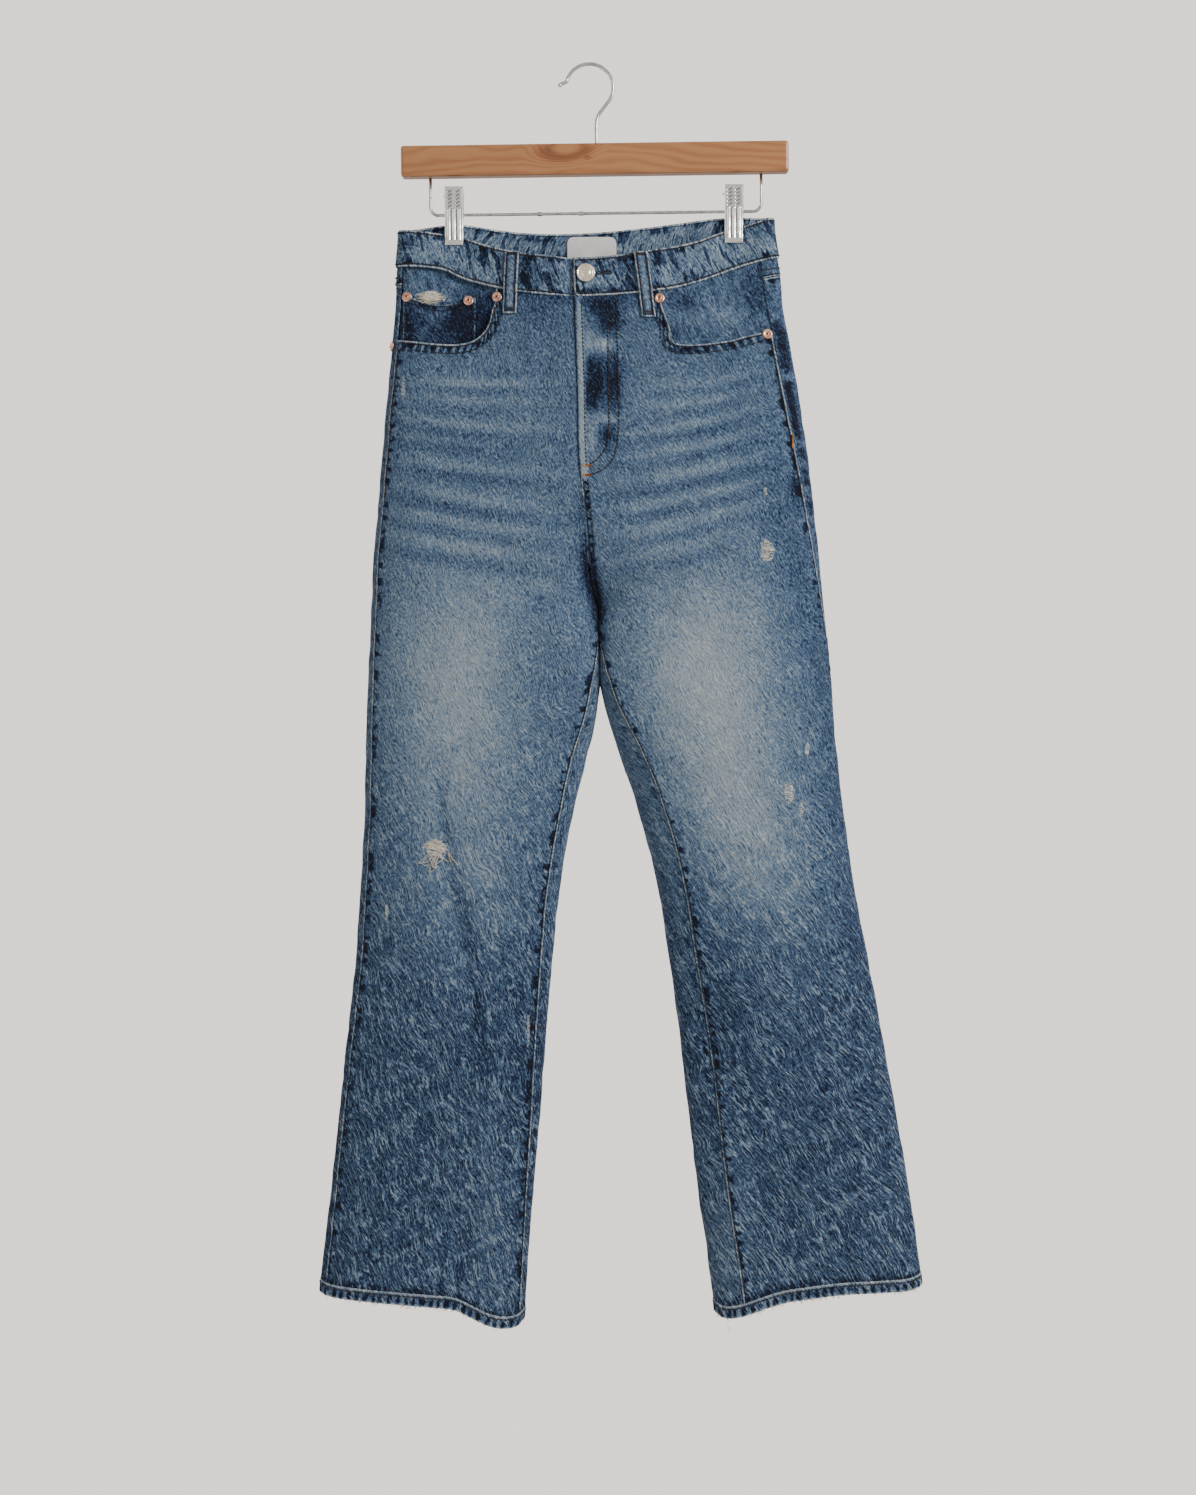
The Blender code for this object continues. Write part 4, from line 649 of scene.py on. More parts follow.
def hemEdge(side, turn):
    half = halfNames[side]
    turn = np.mod(turn, 2)
    share = np.where(turn > 1, 2 - turn, turn)
    at = column(hemEdges, hemNames, "share") / mm
    front = smooth(share, at, column(hemEdges, hemNames, half + "Front"))
    back = smooth(share, at, column(hemEdges, hemNames, half + "Back"))
    return np.where(turn > 1, back, front)


# Uneven cloth: many plane waves of unlike length and direction, a share of a millimetre each
waveCount = 26
waveAngles = rng.uniform(0, pi, waveCount)
waveLengths = rng.uniform(16, 60, waveCount) * mm
wavePhases = rng.uniform(0, 2 * pi, waveCount)


def unevenness(x, height, back):
    total = np.zeros(np.shape(x))
    for angle, length, phase in zip(waveAngles, waveLengths, wavePhases):
        run = (x * np.cos(angle) + height * np.sin(angle)) / length
        total += np.sin(2 * pi * run + phase + 1.7 * back) * length
    return total * 0.0019


# Puckers beside a seam: uneven bumps of about 13 mm that fade out in 5 mm
def puckers(away, along, seed):
    return 0.42 * mm * waves(along, 13 * mm, seed) * bell(np.abs(away), 5.5 * mm)


# Everything that stands off the smooth cloth: creases, seam welts and puckers
def relief(side, turn, height, point):
    turn = np.mod(turn, 2.000001)
    back = turn > 1
    x = point[..., 0]
    rise = np.where(back, foldRise(backCreases, x, height), foldRise(frontCreases, x, height))
    rise = rise + unevenness(x, height, back)
    pinch = np.clip(clipDistance(x, height) / (30 * mm), 0, 1)
    rise = rise * pinch
    away = fromSeam(side, "Outseam", turn, height)
    welt = 0.35 * mm * eased(away, -9 * mm, -7.5 * mm) * (away < 0)
    rise = rise + welt + puckers(away, height, 1.3 + side) * pinch
    legs = height < shape["crotch"]
    away = fromSeam(side, "Inseam", turn, height)
    welt = 0.45 * mm * eased(-away, -9 * mm, -7.5 * mm) * (away > 0)
    return rise + np.where(legs, welt + puckers(away, height, 2.9 + side), 0)


# Points of the cloth at turn and height, offset out of its inside, relief added
def cloth(side, turn, height, offset, fine=1.0):
    turn, height, offset = np.broadcast_arrays(turn, height, offset)
    half = halves[side]
    point = lookUp(half["points"], turn, height)
    normal = lookUp(half["normals"], turn, height)
    normal = normal / np.linalg.norm(normal, axis=-1, keepdims=True)
    if fine:
        offset = offset + fine * relief(side, turn, height, point)
    return point + normal * offset[..., None]


# Turn of the front or back where the cloth has this X
def turnAt(side, x, height, back=False):
    x, height = np.broadcast_arrays(np.asarray(x, float), height)
    flat, level = x.ravel() * side, height.ravel()
    row = np.clip((shape["top"] - level) / shape["rowStep"], 0, len(gridHeights) - 1.001)
    i = row.astype(int)
    table = halves[side]["points"][..., 0] * side
    count = shape["shares"]
    table = table[:, ::-1][:, :count] if back else table[:, :count]
    keys = table[i] * (1 - (row - i)[:, None]) + table[i + 1] * (row - i)[:, None]
    share = pick(keys, np.broadcast_to(shares, keys.shape), flat[:, None])[:, 0]
    return (2 - share if back else share).reshape(x.shape)


def centreLine(back, height):
    return section("rightInner", height) + (section("backShift", height) if back else 0)


# Points of the front or back by X, on either side of the centre line
def face(back, x, height, offset, fine=1.0):
    x, height, offset = np.broadcast_arrays(np.asarray(x, float), height, offset)
    points = np.zeros(x.shape + (3,))
    for side in (-1, 1):
        chosen = (x >= centreLine(back, height)) == (side > 0)
        if chosen.any():
            turn = turnAt(side, x[chosen], height[chosen], back)
            points[chosen] = cloth(side, turn, height[chosen], offset[chosen], fine)
    return points


# How faded the cloth is, with painted shade added, 0 dark to 1 white

fadeLevels = (
    (-130, 0.38), (-215, 0.41), (-300, 0.45), (-380, 0.46), (-450, 0.475), (-520, 0.46), (-620, 0.44),
    (-720, 0.41), (-800, 0.38), (-880, 0.35), (-1000, 0.335), (-1180, 0.345))
spotNames = ("x", "height", "halfWidth", "halfHeight", "lean", "gain")
# pale worn places and darker bands, with painted light and shade in their gains: the left leg's pale places
# are raised for the light from the right
frontSpots = (
    (-116, -545, 68, 85, 0, 0.18), (-122, -650, 62, 110, 0, 0.17), (-114, -770, 58, 80, 0, 0.1),
    (108, -545, 64, 80, 0, 0.21), (124, -640, 60, 95, -0.2, 0.2), (152, -735, 52, 80, -0.25, 0.17),
    (-92, -1060, 16, 120, 0, 0.1), (132, -1080, 18, 100, 0, 0.12), (-60, -560, 40, 40, 0, -0.05),
    (196, -480, 26, 120, -0.25, -0.09), (-196, -600, 14, 160, 0, -0.02), (236, -700, 18, 200, -0.12, -0.06),
    (-50, -330, 30, 90, 0, 0.03), (80, -320, 40, 50, 0, 0.05), (-120, -300, 50, 30, 0, 0.05),
    (-60, -900, 24, 120, 0.1, -0.05), (120, -900, 30, 100, -0.1, -0.04), (-45, -235, 12, 20, 0.3, -0.08),
    (191, -394, 5, 13, 0, -0.3))
backSpots = (
    (-95, -400, 60, 55, 0, 0.14), (100, -400, 60, 55, 0, 0.14), (-110, -620, 50, 120, 0, 0.12),
    (120, -620, 50, 120, 0, 0.12), (-130, -900, 50, 120, 0, 0.04), (170, -900, 50, 120, 0, 0.04),
    (-196, -600, 18, 160, 0, -0.08), (230, -680, 18, 200, -0.12, -0.06))
# whiskers: a pale line with a darker one below it
whiskerNames = ("xFrom", "heightFrom", "xTo", "heightTo", "halfWidth", "gain")
frontWhiskers = (
    (-168, -294, -40, -296, 4.5, 0.12), (-172, -308, -60, -313, 5, 0.08), (-180, -326, -36, -342, 5, 0.13),
    (-186, -344, -60, -352, 4, 0.07), (-184, -364, -30, -382, 5, 0.12), (-190, -388, -36, -414, 6, 0.13),
    (-194, -412, -30, -438, 6, 0.11), (-196, -434, -36, -458, 7, 0.12), (-60, -476, -20, -488, 7, 0.06),
    (52, -302, 158, -286, 4.5, 0.08), (44, -322, 162, -300, 5, 0.1), (40, -344, 168, -318, 5, 0.12),
    (30, -368, 176, -336, 5, 0.13), (22, -392, 178, -360, 6, 0.13), (18, -416, 176, -382, 6, 0.13),
    (14, -440, 168, -404, 7, 0.12), (20, -462, 140, -430, 7, 0.09))
backWhiskers = (
    (-160, -780, -70, -796, 6, 0.1), (-170, -808, -66, -824, 6, 0.1), (-150, -836, -80, -850, 6, 0.08),
    (90, -782, 204, -800, 6, 0.1), (86, -812, 222, -826, 6, 0.1), (104, -838, 214, -854, 6, 0.08),
    (-30, -500, -120, -512, 6, 0.08), (44, -500, 130, -514, 6, 0.08), (-34, -530, -130, -545, 6, 0.08),
    (46, -530, 144, -548, 6, 0.08))
# shade in the right leg's drag crease, tone instead of rise
dragShade = (
    (-137, -673, -123, -756, 7, -0.14), (-123, -756, -105, -821, 8, -0.15), (-105, -821, -95, -959, 8, -0.12))
# wear of the fly: darker and paler places beside its edge
flySpots = (
    (5, -299, 10, 21, 0, -0.6), (19, -237, 10, 15, 0, -0.5), (24, -297, 7, 25, 0, -0.5),
    (2, -284, 6, 11, 0, -0.22), (2, -315, 6, 9, 0, -0.22),
    (15, -262, 12, 7, 0, 0.34), (18, -332, 10, 6, 0, 0.34), (1, -262, 5, 24, 0, 0.18),
    (4, -345, 5, 20, 0, 0.18), (18, -346, 8, 12, 0, -0.42), (4, -226, 14, 7, 0, -0.32))


def spotGain(rows, x, height):
    total = np.zeros(np.shape(x))
    for row in rows:
        spot = dict(zip(spotNames, row))
        middle = spot["x"] * mm + (height - spot["height"] * mm) * spot["lean"]
        away = ((x - middle) / (spot["halfWidth"] * mm)) ** 2
        away = away + ((height - spot["height"] * mm) / (spot["halfHeight"] * mm)) ** 2
        total += spot["gain"] * np.exp(-away)
    return total


def whiskerGain(rows, x, height):
    total = np.zeros(np.shape(x))
    for row in rows:
        line = dict(zip(whiskerNames, row))
        x0, z0 = line["xFrom"] * mm, line["heightFrom"] * mm
        dx, dz = line["xTo"] * mm - x0, line["heightTo"] * mm - z0
        along = ((x - x0) * dx + (height - z0) * dz) / (dx * dx + dz * dz)
        held = np.clip(along, 0, 1)
        sag = 3 * mm * np.sin(pi * held)
        over = (height - z0 - held * dz + sag) / (line["halfWidth"] * mm)
        ends = bell((along - held) * np.hypot(dx, dz), 14 * mm) * (0.25 + 0.75 * np.sin(pi * held))
        total += line["gain"] * ends * (bell(over, 1) - 0.7 * bell(over + 1.9, 1))
    return total


# The tables' sum, and marks that follow the seams, the centre and the fly, painted shade among them. Lengths
# in mm.
def fadeAndShadeAt(side, turn, height, x):
    turn = np.mod(turn, 2.000001)
    back, z = turn > 1, height / mm
    levels = np.array(fadeLevels)
    tone = np.interp(-z, -levels[:, 0], levels[:, 1])
    front = spotGain(frontSpots, x, height) + whiskerGain(frontWhiskers, x, height)
    front = front + foldRise(dragShade, x, height) / mm
    behind = spotGain(backSpots, x, height) + whiskerGain(backWhiskers, x, height)
    tone = tone + np.where(back, behind, front)
    if side > 0:
        # painted shade in the groove and puckers beside the left outseam on the hip
        away = fromSeam(side, "Outseam", turn, height) / mm
        lower = eased(z, -350, -343) * eased(-z, 293, 298)
        upper = eased(z, -287, -281) * eased(-z, 235, 250)
        below = eased(z, -430, -410) * eased(-z, 352, 358)
        line = eased(z, -382, -372) * eased(-z, 280, 290)
        streaks = 0.6 + 0.4 * waves(z, 8, 2.4)
        blobs = eased(waves(z, 24, 1.9), 0.05, 0.5)
        tone = tone - 0.55 * lower * bell(away - 5.5, 3.6, 4)
        tone = tone - 0.44 * upper * streaks * bell(away - 7.5, 6, 4)
        tone = tone - 0.30 * below * blobs * bell(away - 6, 5) - 0.24 * line * streaks * bell(away + 3.2, 2.4)
        tone = tone - 0.12 * (lower + upper + below) * bell(away - 11, 7, 4)
    # painted shade down the front's centre below the fly and in the crotch
    middle = (x - centreLine(False, height)) / mm
    crease = eased(z, -560, -500) * eased(-z, 385, 430)
    fork = eased(z, -530, -505) * eased(-z, 440, 470)
    tone = tone - np.where(back, 0, 0.15 * crease * bell(middle, 7) + 0.50 * fork * bell(middle, 6))
    if side > 0:
        edge = bell(middle - 4, 3.4, 4)
        wear = spotGain(flySpots, x, height) * (0.85 + 0.25 * np.sin(2 * pi * x / (7.5 * mm) + height * 90))
        tone = tone + np.where(back, 0, eased(z, -392, -382) * (0.26 * edge + wear * (1 - edge)))
    return toned(tone)


# Making meshes

far = 50 * mm  # an edge distance that reaches no seam


# Faces turned outwards by the sign of the volume they close, told from the first of them
def outward(points, faces, sample=None):
    p = points[faces[:sample]]
    volume = np.einsum("ij,ij->", p[:, 0], np.cross(p[:, 1], p[:, 2]) + np.cross(p[:, 2], p[:, 3]))
    return faces[:, ::-1] if volume < 0 else faces


# A closed sheet between two grids of the same size: quads on both, strips round the edges.
# The tone (fading with painted shade) and edge are given for each point of the outer grid, uv is its place
# along the cloth.
def sheetMesh(name, outer, inner, material, uv, fade, edge=None):
    rows, cols = outer.shape[:2]
    index = np.arange(rows * cols).reshape(rows, cols)
    a, b, c, d = index[:-1, :-1], index[:-1, 1:], index[1:, 1:], index[1:, :-1]
    front = np.stack([a, d, c, b], axis=-1).reshape(-1, 4)
    shift = rows * cols
    runs = [index[0], index[-1][::-1], index[:, 0][::-1], index[:, -1]]
    edges = [np.stack([run[:-1], run[1:], run[1:] + shift, run[:-1] + shift], axis=-1) for run in runs]
    quads = np.concatenate([front, front[:, ::-1] + shift] + edges)
    points = np.concatenate([outer.reshape(-1, 3), inner.reshape(-1, 3)])
    made = meshObject(name, points, outward(points, quads), material)
    edge = np.full(outer.shape[:2], far) if edge is None else np.clip(edge, -far, far)
    grids = (uv.reshape(-1, 2), fade.ravel(), edge.ravel())
    setCloth(made, *[np.concatenate([grid, grid]) for grid in grids])
    return made


def meshObject(name, points, faces, material, smoothed=True):
    mesh = bpy.data.meshes.new(name)
    mesh.from_pydata(points, [], faces)
    mesh.validate()
    mesh.materials.append(material)
    if smoothed:
        mesh.shade_smooth()
    made = bpy.data.objects.new(name, mesh)
    bpy.context.scene.collection.objects.link(made)
    return made


def setCloth(made, uv, values, edge):
    mesh = made.data
    layer = mesh.uv_layers.new(name="cloth")
    corner = np.zeros(len(mesh.loops), dtype=np.int32)
    mesh.loops.foreach_get("vertex_index", corner)
    layer.uv.foreach_set("vector", uv[corner].astype(np.float32).ravel())
    fade = mesh.attributes.new("fade", "FLOAT", "POINT")
    fade.data.foreach_set("value", values.astype(np.float32))
    away = mesh.attributes.new("edge", "FLOAT", "POINT")
    away.data.foreach_set("value", (edge / mm).astype(np.float32))


# Flat area of a closed sheet: half its surface
def sheetArea(made):
    return sum(polygon.area for polygon in made.data.polygons) / 2


def settle(made, nodes=(), flat=None, area=None):
    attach(made, "root")
    if nodes:
        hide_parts(*nodes)
    if flat:
        cut = area or flat[0] * flat[1]
        print(made.name, "cut", round(cut, 4), "surface", round(sheetArea(made), 4))
    return made


# Shares of a panel's width, closer together at its side seams
def spread(count):
    even = np.linspace(0, 1, count)
    return 0.45 * (1 - np.cos(pi * even)) / 2 + 0.55 * even


def resample(xs, ys, count):
    along = np.concatenate([[0], np.cumsum(np.hypot(np.diff(xs), np.diff(ys)))])
    at = np.linspace(0, along[-1], count)
    return np.interp(at, along, xs), np.interp(at, along, ys)


# Pocket mouth as a smooth run of points
def pocketMouth(side, count):
    rows = rightPocket if side < 0 else leftPocket
    xs, zs = column(rows, pocketNames, "x"), column(rows, pocketNames, "height")
    s = np.arange(len(xs), dtype=float)
    fine = np.linspace(0, len(xs) - 1, 120)
    return resample(smooth(fine, s, xs), smooth(fine, s, zs), count)


# Fronts and backs

panels = {"columns": 84, "bandColumns": 30, "topRows": 34, "levels": 268, "levelTop": -300 * mm,
          "levelBottom": -1120 * mm, "mouthDouble": 0.7 * mm, "mouthWidth": 11 * mm,
          "flyDouble": 0.4 * mm}


def gapTurn(side, height, gap=None):
    half = halfNames[side]
    gap = shape["gap"] / 2 if gap is None else gap
    return gap / np.abs(section(half + "Outer", height) - section(half + "Inner", height))


# Grid of turns and heights between two seams, from a top edge to the hem
def panelGrid(side, start, end, topTurn, topHeight):
    share = spread(len(topTurn))[None, :]
    levels = np.linspace(panels["levelTop"], panels["levelBottom"], panels["levels"])[:, None]
    turns = start(levels) + (end(levels) - start(levels)) * share
    heights = levels + 0 * share
    hemTurn = turns[-1]
    hem = hemEdge(side, hemTurn) + shape["hemHeight"] - 3 * shape["gap"]
    pull = np.clip((-1000 * mm - levels) / (150 * mm), 0, 1)
    heights = heights + (hem - (panels["levelBottom"] - 25 * mm))[None, :] * pull
    low = np.linspace(0, 1, 9)[1:, None]
    turns = np.concatenate([turns, hemTurn + 0 * low])
    heights = np.concatenate([heights, heights[-1] * (1 - low) + hem * low])
    blend = np.linspace(0, 1, panels["topRows"] + 1)[:-1, None] ** 1.25
    turns = np.concatenate([topTurn * (1 - blend) + turns[0] * blend, turns])
    heights = np.concatenate([topHeight * (1 - blend) + heights[0] * blend, heights])
    return turns, heights


# UV: metres along the cloth from the outer fold, and height
def clothUv(side, turn, height):
    return np.stack([(turn - 1) * faceLength(side, "front", height) * side, height], axis=-1)


def bandRun(side, count):
    mouthX = pocketMouth(side, 3)[0][0]
    return np.linspace(section("rightInner", -215 * mm), mouthX, count)


# Distance of each point from a run of points, by X and height
def runDistance(run, x, heights):
    return np.hypot(x[..., None] - run[0], heights[..., None] - run[1]).min(axis=-1)


# Painted shade: a dark, uneven band just above the hem
def hemShade(side, turns, heights):
    above = heights - hemEdge(side, turns) - shape["hemHeight"]
    patchy = 0.6 + 0.4 * waves(turns * 0.2, 26 * mm, 1.1 + side)
    return 0.34 * patchy * bell(above, 4.5 * mm)


def makeFront(side):
    half = halfNames[side]
    cols, bandCols = panels["columns"], panels["bandColumns"]
    bandX = bandRun(side, bandCols + 1)
    mouthX, mouthHeight = pocketMouth(side, cols - bandCols)
    mouthHeight[0] = bandEdge("frontBottom", mouthX[0]) - shape["gap"]
    x = np.concatenate([bandX[:-1], mouthX])
    topHeight = np.concatenate([bandEdge("frontBottom", bandX[:-1]) - shape["gap"], mouthHeight])
    topTurn = turnAt(side, x, topHeight)
    topTurn[0] = gapTurn(side, topHeight[0])
    topTurn[-1] = seamTurn(side, "Outseam", topHeight[-1]) - gapTurn(side, topHeight[-1])

    def start(level):
        return seamTurn(side, "Inseam", level) + gapTurn(side, level)

    def end(level):
        return seamTurn(side, "Outseam", level) - gapTurn(side, level)

    turns, heights = panelGrid(side, start, end, topTurn, topHeight)
    # thickness: doubled along the pocket's mouth, the fly's fold and facing
    topDistance = np.abs(heights - topHeight[None, :])
    mouth = 1.0 * (np.arange(cols) >= bandCols)[None, :]
    beat = np.sin(2 * pi * np.arange(cols)[None, :] / 3.1)
    double = panels["mouthDouble"] * eased(panels["mouthWidth"] - topDistance, 0, 2 * mm)
    ripple = 0.38 * mm * beat * bell(topDistance - 6 * mm, 4 * mm) - 0.5 * mm * bell(topDistance, 1.2 * mm)
    offset = shape["panel"] + mouth * (double + ripple)
    x = lookUp(halves[side]["points"], turns, heights)[..., 0]
    if side > 0:
        away = x - centreLine(False, heights)
        fold = eased(-away, -9.5 * mm, -7.8 * mm) * eased(heights, -392 * mm, -380 * mm)
        foot = np.clip(-340 * mm - heights, 0, 42 * mm) / (42 * mm)
        width = 36 * mm * np.sqrt(1 - foot ** 2)
        doubled = eased(width + 3 * mm - away, 0, 2.5 * mm) * eased(heights, -386 * mm, -382 * mm)
        offset = offset + fold * (0.9 + 0.15 * np.sin(2 * pi * heights / (4.4 * mm))) * mm
        offset = offset + panels["flyDouble"] * doubled
    outer = cloth(side, turns, heights, offset)
    inner = cloth(side, turns, heights, 0)
    mouthAway = runDistance(pocketMouth(side, 90), x, heights)
    stitched = eased(-np.abs(mouthAway - 5.5 * mm), -5 * mm, -3 * mm) * (heights > -285 * mm)
    fade = fadeAndShadeAt(side, turns, heights, x) + stitched * (0.28 * beat - 0.08)
    # painted shadow in a strip under the waistband, and painted shade above the hem
    fade = fade - 0.12 * (1 - mouth) * bell(topDistance, 6 * mm) - hemShade(side, turns, heights)
    length = faceLength(side, "front", heights)
    legs = heights < (shape["crotch"] if side < 0 else -387 * mm)
    edge = np.minimum((end(heights) - turns) * length, mouthAway)
    edge = np.where(legs, np.minimum(edge, (turns - start(heights)) * length), edge)
    uv = clothUv(side, turns, heights)
    return sheetMesh("front" + half.capitalize(), outer, inner, denimFront, uv, toned(fade), edge)


def yokeEdge(side, turn):
    x = lookUp(halves[side]["points"], turn, np.full(np.shape(turn), -200 * mm))[..., 0]
    band = np.where(turn < 1, bandEdge("frontBottom", x), bandEdge("backBottom", x))
    rise = np.clip(turn - 1, 0, 1)
    return band - 17 * mm - 43 * mm * rise


def backRun(side, height, count):
    edge = gapTurn(side, height)
    start = seamTurn(side, "Outseam", height) + edge
    return start + (2 - edge - start) * spread(count)


def bandColumns(side, turn):
    x = lookUp(halves[side]["points"], turn, np.full(len(turn), -175 * mm))[:, 0]
    top = np.where(turn > 1, bandEdge("backTop", x), bandEdge("frontTop", x))
    bottom = np.where(turn > 1, bandEdge("backBottom", x), bandEdge("frontBottom", x))
    return top, bottom


def makeBack(side):
    half = halfNames[side]
    topTurn = backRun(side, -205 * mm, panels["columns"])
    topHeight = yokeEdge(side, topTurn) - shape["gap"] / 2

    def start(level):
        return seamTurn(side, "Outseam", level) + gapTurn(side, level)

    def end(level):
        return 2 + seamTurn(side, "Inseam", level) - gapTurn(side, level)

    turns, heights = panelGrid(side, start, end, topTurn, topHeight)
    outer = cloth(side, turns, heights, shape["panel"])
    inner = cloth(side, turns, heights, 0)
    x = outer[..., 0]
    fade = fadeAndShadeAt(side, turns, heights, x)
    # painted shade above the hem
    fade = fade - hemShade(side, turns, heights)
    top = topHeight[None, :] - heights
    seat = np.abs(x - centreLine(True, heights)) - shape["gap"] / 2
    length = faceLength(side, "back", heights)
    edge = np.minimum((turns - start(heights)) * length, (end(heights) - turns) * length)
    upper = heights > shape["crotch"]
    edge = np.where(upper, np.minimum(top, (turns - start(heights)) * length), edge)
    edge = np.where(upper & (np.minimum(seat, top) < np.abs(edge) + mm), np.minimum(seat, top), -edge)
    uv = clothUv(side, turns, heights)
    return sheetMesh("back" + half.capitalize(), outer, inner, denimPlain, uv, toned(fade), edge)


def makeYoke(side):
    half = halfNames[side]
    turn = backRun(side, -205 * mm, 70)
    top = bandColumns(side, turn)[1] - shape["gap"]
    bottom = yokeEdge(side, turn) + shape["gap"] / 2
    blend = np.linspace(0, 1, 22)[:, None]
    heights = top * (1 - blend) + bottom * blend
    turns = turn + 0 * heights
    above = heights - bottom
    welt = 0.45 * mm * eased(-above, -9 * mm, -7.5 * mm)
    wrinkle = 0.3 * mm * waves(turns * 0.2 + 0 * above, 9 * mm, 5.1) * bell(above - 5 * mm, 5 * mm)
    outer = cloth(side, turns, heights, shape["panel"] + welt + wrinkle)
    inner = cloth(side, turns, heights, 0)
    fade = fadeAndShadeAt(side, turns, heights, outer[..., 0]) - 0.02
    uv = clothUv(side, turns, heights)
    return sheetMesh("yoke" + half.capitalize(), outer, inner, denimPlain, uv, toned(fade), above)


cuts = {"front": ((0.26, 0.98), 0.205), "back": ((0.33, 1.00), 0.240), "yoke": ((0.20, 0.062), 0.0078)}
for side, half in ((-1, "right"), (1, "left")):
    for kind, maker in (("front", makeFront), ("back", makeBack), ("yoke", makeYoke)):
        made = maker(side)
        flat, area = cuts[kind]
        settle(made, (kind + "_" + half,), flat, area)
print("fronts, backs and yokes ready")


# Waistband: two halves, the right one stepping in behind the left one's end

band = {"rows": 18, "frontColumns": 56, "backColumns": 56, "edgeRoll": 0.9 * mm, "lapStart": 16 * mm,
        "lapEven": 0.35, "lapEnd": 22 * mm, "tone": 0.46, "cut": (0.37, 0.038)}
# worn and darker places on the waistband's front; the dark strips beside the belt loops are painted shadow as
# well as unworn indigo
bandSpots = (
    (-166, -166, 13, 6, 0, -0.22), (-100, -178, 10, 12, -0.5, -0.14), (-60, -190, 8, 12, -0.4, -0.16),
    (-84, -192, 6, 14, -0.5, 0.08), (18, -188, 12, 8, 0, -0.18), (34, -196, 7, 16, 0.3, -0.14),
    (84, -186, 10, 10, -0.3, -0.1), (156, -152, 12, 7, 0, -0.16), (120, -178, 12, 8, 0, 0.08),
    (-140, -176, 12, 6, 0, 0.06), (-28, -200, 7, 10, 0, -0.1), (70, -200, 7, 9, 0, 0.1),
    (-48, -194, 18, 14, 0, -0.1), (-58, -192, 5, 20, 0, -0.24), (62, -192, 5, 20, 0, -0.24),
    (-82, -192, 4, 18, 0, -0.2), (40, -192, 4, 18, 0, -0.2),
    (36, -192, 5, 20, 0, -0.1))


def makeBand(side):
    half = halfNames[side]
    run = bandRun(side, 22)
    runTurn = turnAt(side, run, bandEdge("frontBottom", run) - shape["gap"])
    runTurn[0] = gapTurn(side, -215 * mm)
    fold = np.linspace(runTurn[-1], 1, band["frontColumns"] - 20)[1:]
    rear = np.linspace(1, 2 - gapTurn(side, -205 * mm), band["backColumns"])[1:]
    turn = np.concatenate([runTurn, fold, rear])
    top, bottom = bandColumns(side, turn)
    bottom[:len(run)] = bandEdge("frontBottom", run)
    share = np.linspace(0, 1, band["rows"])
    blend = (0.35 * (1 - np.cos(pi * share)) / 2 + 0.65 * share)[:, None]
    heights = top * (1 - blend) + bottom * blend
    turns = turn + 0 * heights
    lap = 0 * heights
    x = lookUp(halves[side]["points"], turns, heights)[..., 0]
    if side < 0:
        step = shape["band"] + shape["gap"]
        away = np.clip((section("rightInner", heights) - x) / band["lapStart"], 0, 1)
        lap = np.where(turns < 1, step * (1 - away), 0)
        lap = np.where((turns < 1) & (away < band["lapEven"]), step, lap)
    width = 38 * mm
    fromEdge = np.minimum(blend, 1 - blend) * width
    edge = band["edgeRoll"] * bell(fromEdge, 1.3 * mm)
    along = turns * 0.18
    pucker = 0.22 * mm * waves(along, 7 * mm, 2.2 + side) * bell(fromEdge - 3 * mm, 4 * mm)
    groove = 0.22 * mm * bell(fromEdge - 2.6 * mm, 0.9 * mm)
    clear = np.clip(clipDistance(x, heights) / (12 * mm), 0, 1)
    offset = shape["band"] - edge + (pucker - groove) * clear - lap
    inner = cloth(side, turns, heights, edge * 0.5 - lap)
    outer = cloth(side, turns, heights, offset)
    uv = clothUv(side, turns, heights)
    fade = band["tone"] + 0 * heights
    fade = fade + np.where(turns < 1, spotGain(bandSpots, x, heights), 0.05 * waves(along, 40 * mm, 1.0))
    away = fromEdge + 0 * heights
    if side > 0:
        away = np.where(turns < 1, np.minimum(away, np.abs(x - x[:, :1])), away)
    else:
        lapX = np.linspace(band["lapEnd"], section("leftInner", -195 * mm) + 6 * mm, 8)
        lapHeights = bandEdge("frontTop", lapX) * (1 - blend) + bandEdge("frontBottom", lapX) * blend
        lapX = lapX + 0 * lapHeights
        lapOuter = face(False, lapX, lapHeights, shape["band"] - step - edge)
        lapInner = face(False, lapX, lapHeights, -step + 0 * lapX)
        outer, inner = np.concatenate([lapOuter, outer], axis=1), np.concatenate([lapInner, inner], axis=1)
        uv = np.concatenate([np.stack([lapX, lapHeights], axis=-1), uv], axis=1)
        fade = np.concatenate([band["tone"] + 0 * lapX, fade], axis=1)
        away = np.concatenate([fromEdge + 0 * lapX, away], axis=1)
    return sheetMesh("waistband" + half.capitalize(), outer, inner, denimBand, uv, toned(fade), away)


# Hems: a folded, roped band. Its section is a superellipse carried round the leg:
# offset = 0.1 + 1.4 * c, height = bottom + 6 + 6 * s, with c and s the rooted cosine and sine
hem = {"columns": 320, "sides": 18, "thick": 1.4 * mm, "mid": 0.1 * mm, "rope": 7.6 * mm, "tone": 0.46,
       "level": -1.14}


